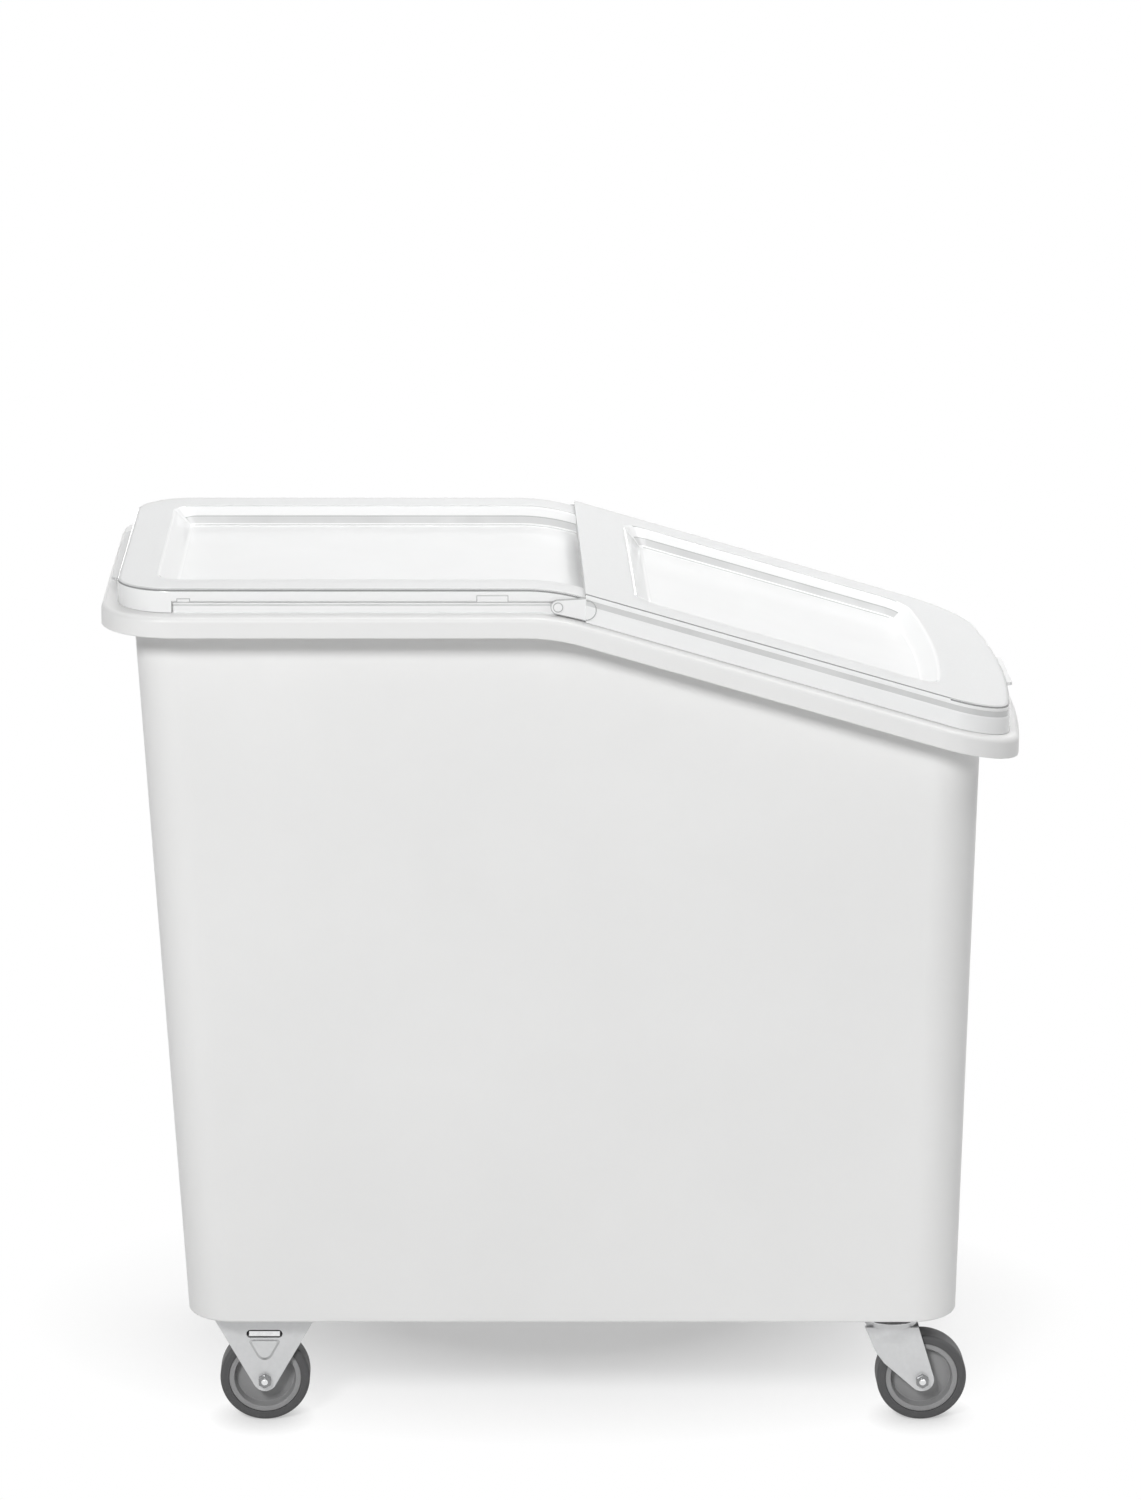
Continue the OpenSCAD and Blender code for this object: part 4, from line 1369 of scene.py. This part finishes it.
def add_hexagon(start, thick):
    """Adds a six-sided prism about the axle, from a place across the bin."""
    bpy.ops.mesh.primitive_cylinder_add(vertices=6, radius=HEX_R, depth=thick,
                                        location=(0, start + thick / 2, 0), rotation=(math.pi / 2, 0, 0))


def model_nut(casters):
    start = casters.fork_gap / 2 + casters.sheet
    thick, corner = 0.005, 0.0009
    piece = open_piece("axle_nut")
    add_hexagon(start, thick)
    pick("VERT", lambda v: v.co.y > start + thick - NEAR)
    bpy.ops.mesh.bevel(offset=corner, segments=2, affect="VERTICES")
    close_piece(piece, edge=0.0004)
    return piece


def model_bolt(casters):
    out = casters.fork_gap / 2 + casters.sheet
    tip, taper, head = out + 0.0065, 0.001, 0.004
    piece = open_piece("axle_bolt")
    spin_profile([(0, -out, 0), (0, -out, casters.axle_r), (0, tip - taper, casters.axle_r),
                  (0, tip, casters.axle_r - taper), (0, tip, 0)], ACROSS, steps=40)
    add_hexagon(-out - head, head)
    close_piece(piece, edge=0.0004)
    return piece


# Studio


def set_camera(scene, studio):
    deselect()
    bpy.ops.object.camera_add(location=studio.camera, rotation=(math.pi / 2 - studio.pitch, 0, 0))
    camera = bpy.context.active_object
    camera.data.lens = studio.lens
    camera.data.sensor_width = 36
    camera.data.shift_x = studio.shift
    camera.data.clip_end = 60
    scene.camera = camera


def add_lamp(name, place, target, size, power):
    deselect()
    turn = (Vector(target) - Vector(place)).to_track_quat("-Z", "Y").to_euler()
    bpy.ops.object.light_add(type="AREA", location=place, rotation=turn)
    lamp = bpy.context.active_object
    lamp.name = name
    lamp.data.shape = "RECTANGLE"
    lamp.data.size, lamp.data.size_y = size
    lamp.data.energy = power


def set_lamps(studio):
    add_lamp("key_softbox", (-1.93, -4.55, 3.85), (0, 0, 0.45), (1.2, 1.2), studio.key)
    add_lamp("fill_softbox", (2.23, -3.19, 1.97), (0, 0, 0.4), (2.4, 1.8), studio.fill)
    add_lamp("top_softbox", (0.7, 0.8, 2.3), (0.1, 0, 0.7), (3.4, 1.2), studio.top)
    add_lamp("back_softbox", (0, 3.4, 0.4), (0, 0, 0.4), (2.2, 0.6), studio.back)


def joined(tree, operation, one, other):
    """The smaller or the larger of two factors."""
    step = tree.nodes.new("ShaderNodeMath")
    step.operation = operation
    tree.links.new(one, step.inputs[0])
    tree.links.new(other, step.inputs[1])
    return step.outputs["Value"]


def white_for_seeing(tree):
    """A factor that is 1 for rays that show the background and 0 for those that light the object."""
    path = tree.nodes.new("ShaderNodeLightPath")
    seen = path.outputs["Is Camera Ray"]
    for other in ("Is Glossy Ray", "Is Transmission Ray"):
        seen = joined(tree, "MAXIMUM", seen, path.outputs[other])
    return seen


def set_world(scene, studio):
    world = bpy.data.worlds.new("white_studio")
    scene.world = world
    world.use_nodes = True
    tree = world.node_tree
    strength = between(tree, white_for_seeing(tree), low=studio.ambient, high=1, first=0, last=1)
    tree.links.new(strength, tree.nodes["Background"].inputs["Strength"])
    tree.nodes["Background"].inputs["Color"].default_value = (1, 1, 1, 1)


def vector_step(tree, vector, operation, other=(0, 0, 0)):
    step = tree.nodes.new("ShaderNodeVectorMath")
    step.operation = operation
    step.inputs[1].default_value = other
    tree.links.new(vector, step.inputs[0])
    return step


def near_wheels(tree, place, casters):
    """A factor that falls towards the four places where the wheels stand."""
    front_x = casters.swivel_x + casters.trail
    middle_x = (front_x + casters.fixed_x) / 2
    shifted = vector_step(tree, place, "SUBTRACT", (middle_x, 0, 0))
    folded = vector_step(tree, shifted.outputs["Vector"], "ABSOLUTE")
    away = vector_step(tree, folded.outputs["Vector"], "DISTANCE", (front_x - middle_x, casters.place_y, 0))
    return between(tree, away.outputs["Value"], low=0.2, high=1, first=0, last=0.048)


def under_bin(tree, place):
    """A factor that falls towards the middle of an oval under the bin."""
    mapping = tree.nodes.new("ShaderNodeMapping")
    mapping.vector_type = "TEXTURE"
    mapping.inputs["Location"].default_value = (0, 0.12, 0)
    mapping.inputs["Scale"].default_value = (0.5, 0.33, 1)
    tree.links.new(place, mapping.inputs["Vector"])
    length = vector_step(tree, mapping.outputs["Vector"], "LENGTH")
    return between(tree, length.outputs["Value"], low=0.35, high=1, first=0.3, last=0.94)


def lay_floor(casters):
    """Lays a floor that takes the shadows under the bin and shows pure white further out."""
    deselect()
    bpy.ops.mesh.primitive_plane_add(size=9, location=(0, 0, 0))
    floor = bpy.context.active_object
    floor.name = "studio_floor"
    material, tree, shader = new_finish("studio_floor")
    shader.inputs["Base Color"].default_value = (0.9, 0.9, 0.9, 1)
    shader.inputs["Roughness"].default_value = 0.9
    shader.inputs["Specular IOR Level"].default_value = 0.1
    place = tree.nodes.new("ShaderNodeTexCoord").outputs["Object"]
    white = joined(tree, "MINIMUM", under_bin(tree, place), near_wheels(tree, place, casters))
    share = joined(tree, "MINIMUM", white, white_for_seeing(tree))
    glow = tree.nodes.new("ShaderNodeEmission")
    mix = tree.nodes.new("ShaderNodeMixShader")
    for i, output in enumerate((share, shader.outputs["BSDF"], glow.outputs["Emission"])):
        tree.links.new(output, mix.inputs[i])
    tree.links.new(mix.outputs["Shader"], tree.nodes["Material Output"].inputs["Surface"])
    paint(floor, material)


# Operators


class FLOURBIN_OT_stage(bpy.types.Operator):
    """Set up the camera, the lamps, the white world and the floor"""
    bl_idname = "flour_bin.stage"
    bl_label = "Studio"

    def execute(self, context):
        studio = context.scene.flour_bin_studio
        context.scene.view_settings.view_transform = "Standard"
        set_camera(context.scene, studio)
        set_lamps(studio)
        set_world(context.scene, studio)
        lay_floor(context.scene.flour_bin_casters)
        return {"FINISHED"}


class FLOURBIN_OT_tub(bpy.types.Operator):
    """Model the white moulded tub with its turned-down rim and its ribbed underside"""
    bl_idname = "flour_bin.tub"
    bl_label = "Tub"

    def execute(self, context):
        scene = context.scene
        piece = model_tub(scene.flour_bin_tub, scene.flour_bin_casters)
        paint(piece, moulded_white(scene.flour_bin_finish))
        settle(piece, "bin", "tub_white", "bin_tub")
        return {"FINISHED"}


class FLOURBIN_OT_lids(bpy.types.Operator):
    """Model the clear rear lid and the clear hinged front lid"""
    bl_idname = "flour_bin.lids"
    bl_label = "Lids"

    def execute(self, context):
        scene = context.scene
        finishes = [make(scene.flour_bin_finish)
                    for make in (clear_plastic, panel_plastic, frosted_plastic, edge_plastic, thin_plastic,
                                 shaded_plastic)]
        rear = model_rear_lid(scene.flour_bin_tub, scene.flour_bin_lids, finishes)
        settle(rear, "rear_lid", "clear_lid", "rear_lid")
        front = model_front_lid(scene.flour_bin_tub, scene.flour_bin_lids, finishes)
        settle(front, "front_lid", "clear_lid", "front_lid")
        return {"FINISHED"}


class FLOURBIN_OT_forks(bpy.types.Operator):
    """Model the fixed and the swivel forks with their axle bolts and nuts"""
    bl_idname = "flour_bin.forks"
    bl_label = "Forks"

    def execute(self, context):
        casters = context.scene.flour_bin_casters
        finish = context.scene.flour_bin_finish
        plain, bright, fold = [shared(make, finish) for make in (zinc_plate, bright_plate, zinc_fold)]
        bolt = model_bolt(casters)
        nut = model_nut(casters)
        paint(bolt, bright)
        paint(nut, nut_plate(finish))
        for model, group, x, trail in ((model_fixed_fork, FIXED_CASTERS, casters.fixed_x, 0),
                                       (model_swivel_fork, SWIVEL_CASTERS, casters.swivel_x, casters.trail)):
            fork = model(casters)
            paint(fork, plain, bright, fold)
            for caster, side in group.items():
                body = "bin" if group is FIXED_CASTERS else caster + "_swivel"
                y = side * casters.place_y
                copy = place_copy(fork, caster + "_fork_sheet", (x, y, 0))
                settle(copy, body, "zinc_sheet", caster + "_fork")
                axle = (x + trail, y, casters.wheel_r)
                for start, part in ((bolt, "bolt"), (nut, "nut")):
                    copy = place_copy(start, f"{caster}_axle_{part}", axle, side < 0)
                    settle(copy, body, "bright_steel", f"{caster}_{part}")
            remove_piece(fork)
        plate = model_swivel_plate(casters)
        paint(plate, bright, dark_groove(finish))
        for caster, side in SWIVEL_CASTERS.items():
            copy = place_copy(plate, caster + "_head_plate", (casters.swivel_x, side * casters.place_y, 0))
            settle(copy, "bin", "zinc_sheet", caster + "_plate")
        for start in (plate, bolt, nut):
            remove_piece(start)
        return {"FINISHED"}


class FLOURBIN_OT_wheels(bpy.types.Operator):
    """Model the four wheels: grey cores with dark tyres"""
    bl_idname = "flour_bin.wheels"
    bl_label = "Wheels"

    def execute(self, context):
        casters = context.scene.flour_bin_casters
        finish = context.scene.flour_bin_finish
        core, tyre = model_core(casters), model_tyre(casters)
        paint(core, grey_plastic(finish))
        paint(tyre, tyre_rubber(finish))
        for group, x in ((FIXED_CASTERS, casters.fixed_x),
                         (SWIVEL_CASTERS, casters.swivel_x + casters.trail)):
            for caster, side in group.items():
                axle = (x, side * casters.place_y, casters.wheel_r)
                for start, part, slot in ((core, "core", "wheel_core"), (tyre, "tyre", "tyre_rubber")):
                    copy = place_copy(start, f"{caster}_wheel_{part}", axle)
                    settle(copy, caster + "_wheel", slot, f"{caster}_{part}")
        remove_piece(core)
        remove_piece(tyre)
        return {"FINISHED"}


class FLOURBIN_OT_hidden_parts(bpy.types.Operator):
    """Finish the plates, balls, cups, pins, sleeves, screws and inserts"""
    bl_idname = "flour_bin.hidden_parts"
    bl_label = "Plates and small parts"

    def execute(self, context):
        finish = context.scene.flour_bin_finish
        by_slot = {"zinc_sheet": shared(zinc_plate, finish), "bright_steel": shared(bright_plate, finish),
                   "insert_brass": turned_brass(finish)}
        for part in frame["record"]["subparts"]:
            if part["material_slot"] in by_slot:
                paint(frame["nodes"][part["node"]], by_slot[part["material_slot"]])
        return {"FINISHED"}


class FLOURBIN_PT_panel(bpy.types.Panel):
    """Lists the steps of the flour bin"""
    bl_label = "Flour Bin"
    bl_idname = "FLOURBIN_PT_panel"
    bl_space_type = "VIEW_3D"
    bl_region_type = "UI"
    bl_category = "Flour Bin"

    def draw(self, context):
        for step in STEPS:
            self.layout.operator(step.bl_idname)


STEPS = (FLOURBIN_OT_stage, FLOURBIN_OT_tub, FLOURBIN_OT_lids, FLOURBIN_OT_forks, FLOURBIN_OT_wheels,
         FLOURBIN_OT_hidden_parts)
GROUPS = {"flour_bin_tub": TubSizes, "flour_bin_lids": LidSizes, "flour_bin_casters": CasterSizes,
          "flour_bin_finish": BinFinish, "flour_bin_studio": Studio}


def register():
    for name, group in GROUPS.items():
        bpy.utils.register_class(group)
        setattr(bpy.types.Scene, name, PointerProperty(type=group))
    for step in STEPS:
        bpy.utils.register_class(step)
    bpy.utils.register_class(FLOURBIN_PT_panel)


def unregister():
    bpy.utils.unregister_class(FLOURBIN_PT_panel)
    for step in reversed(STEPS):
        bpy.utils.unregister_class(step)
    for name, group in GROUPS.items():
        delattr(bpy.types.Scene, name)
        bpy.utils.unregister_class(group)


def main():
    register()
    bpy.ops.flour_bin.stage()
    bpy.ops.flour_bin.tub()
    bpy.ops.flour_bin.lids()
    bpy.ops.flour_bin.forks()
    bpy.ops.flour_bin.wheels()
    bpy.ops.flour_bin.hidden_parts()


if __name__ == "__main__":
    main()
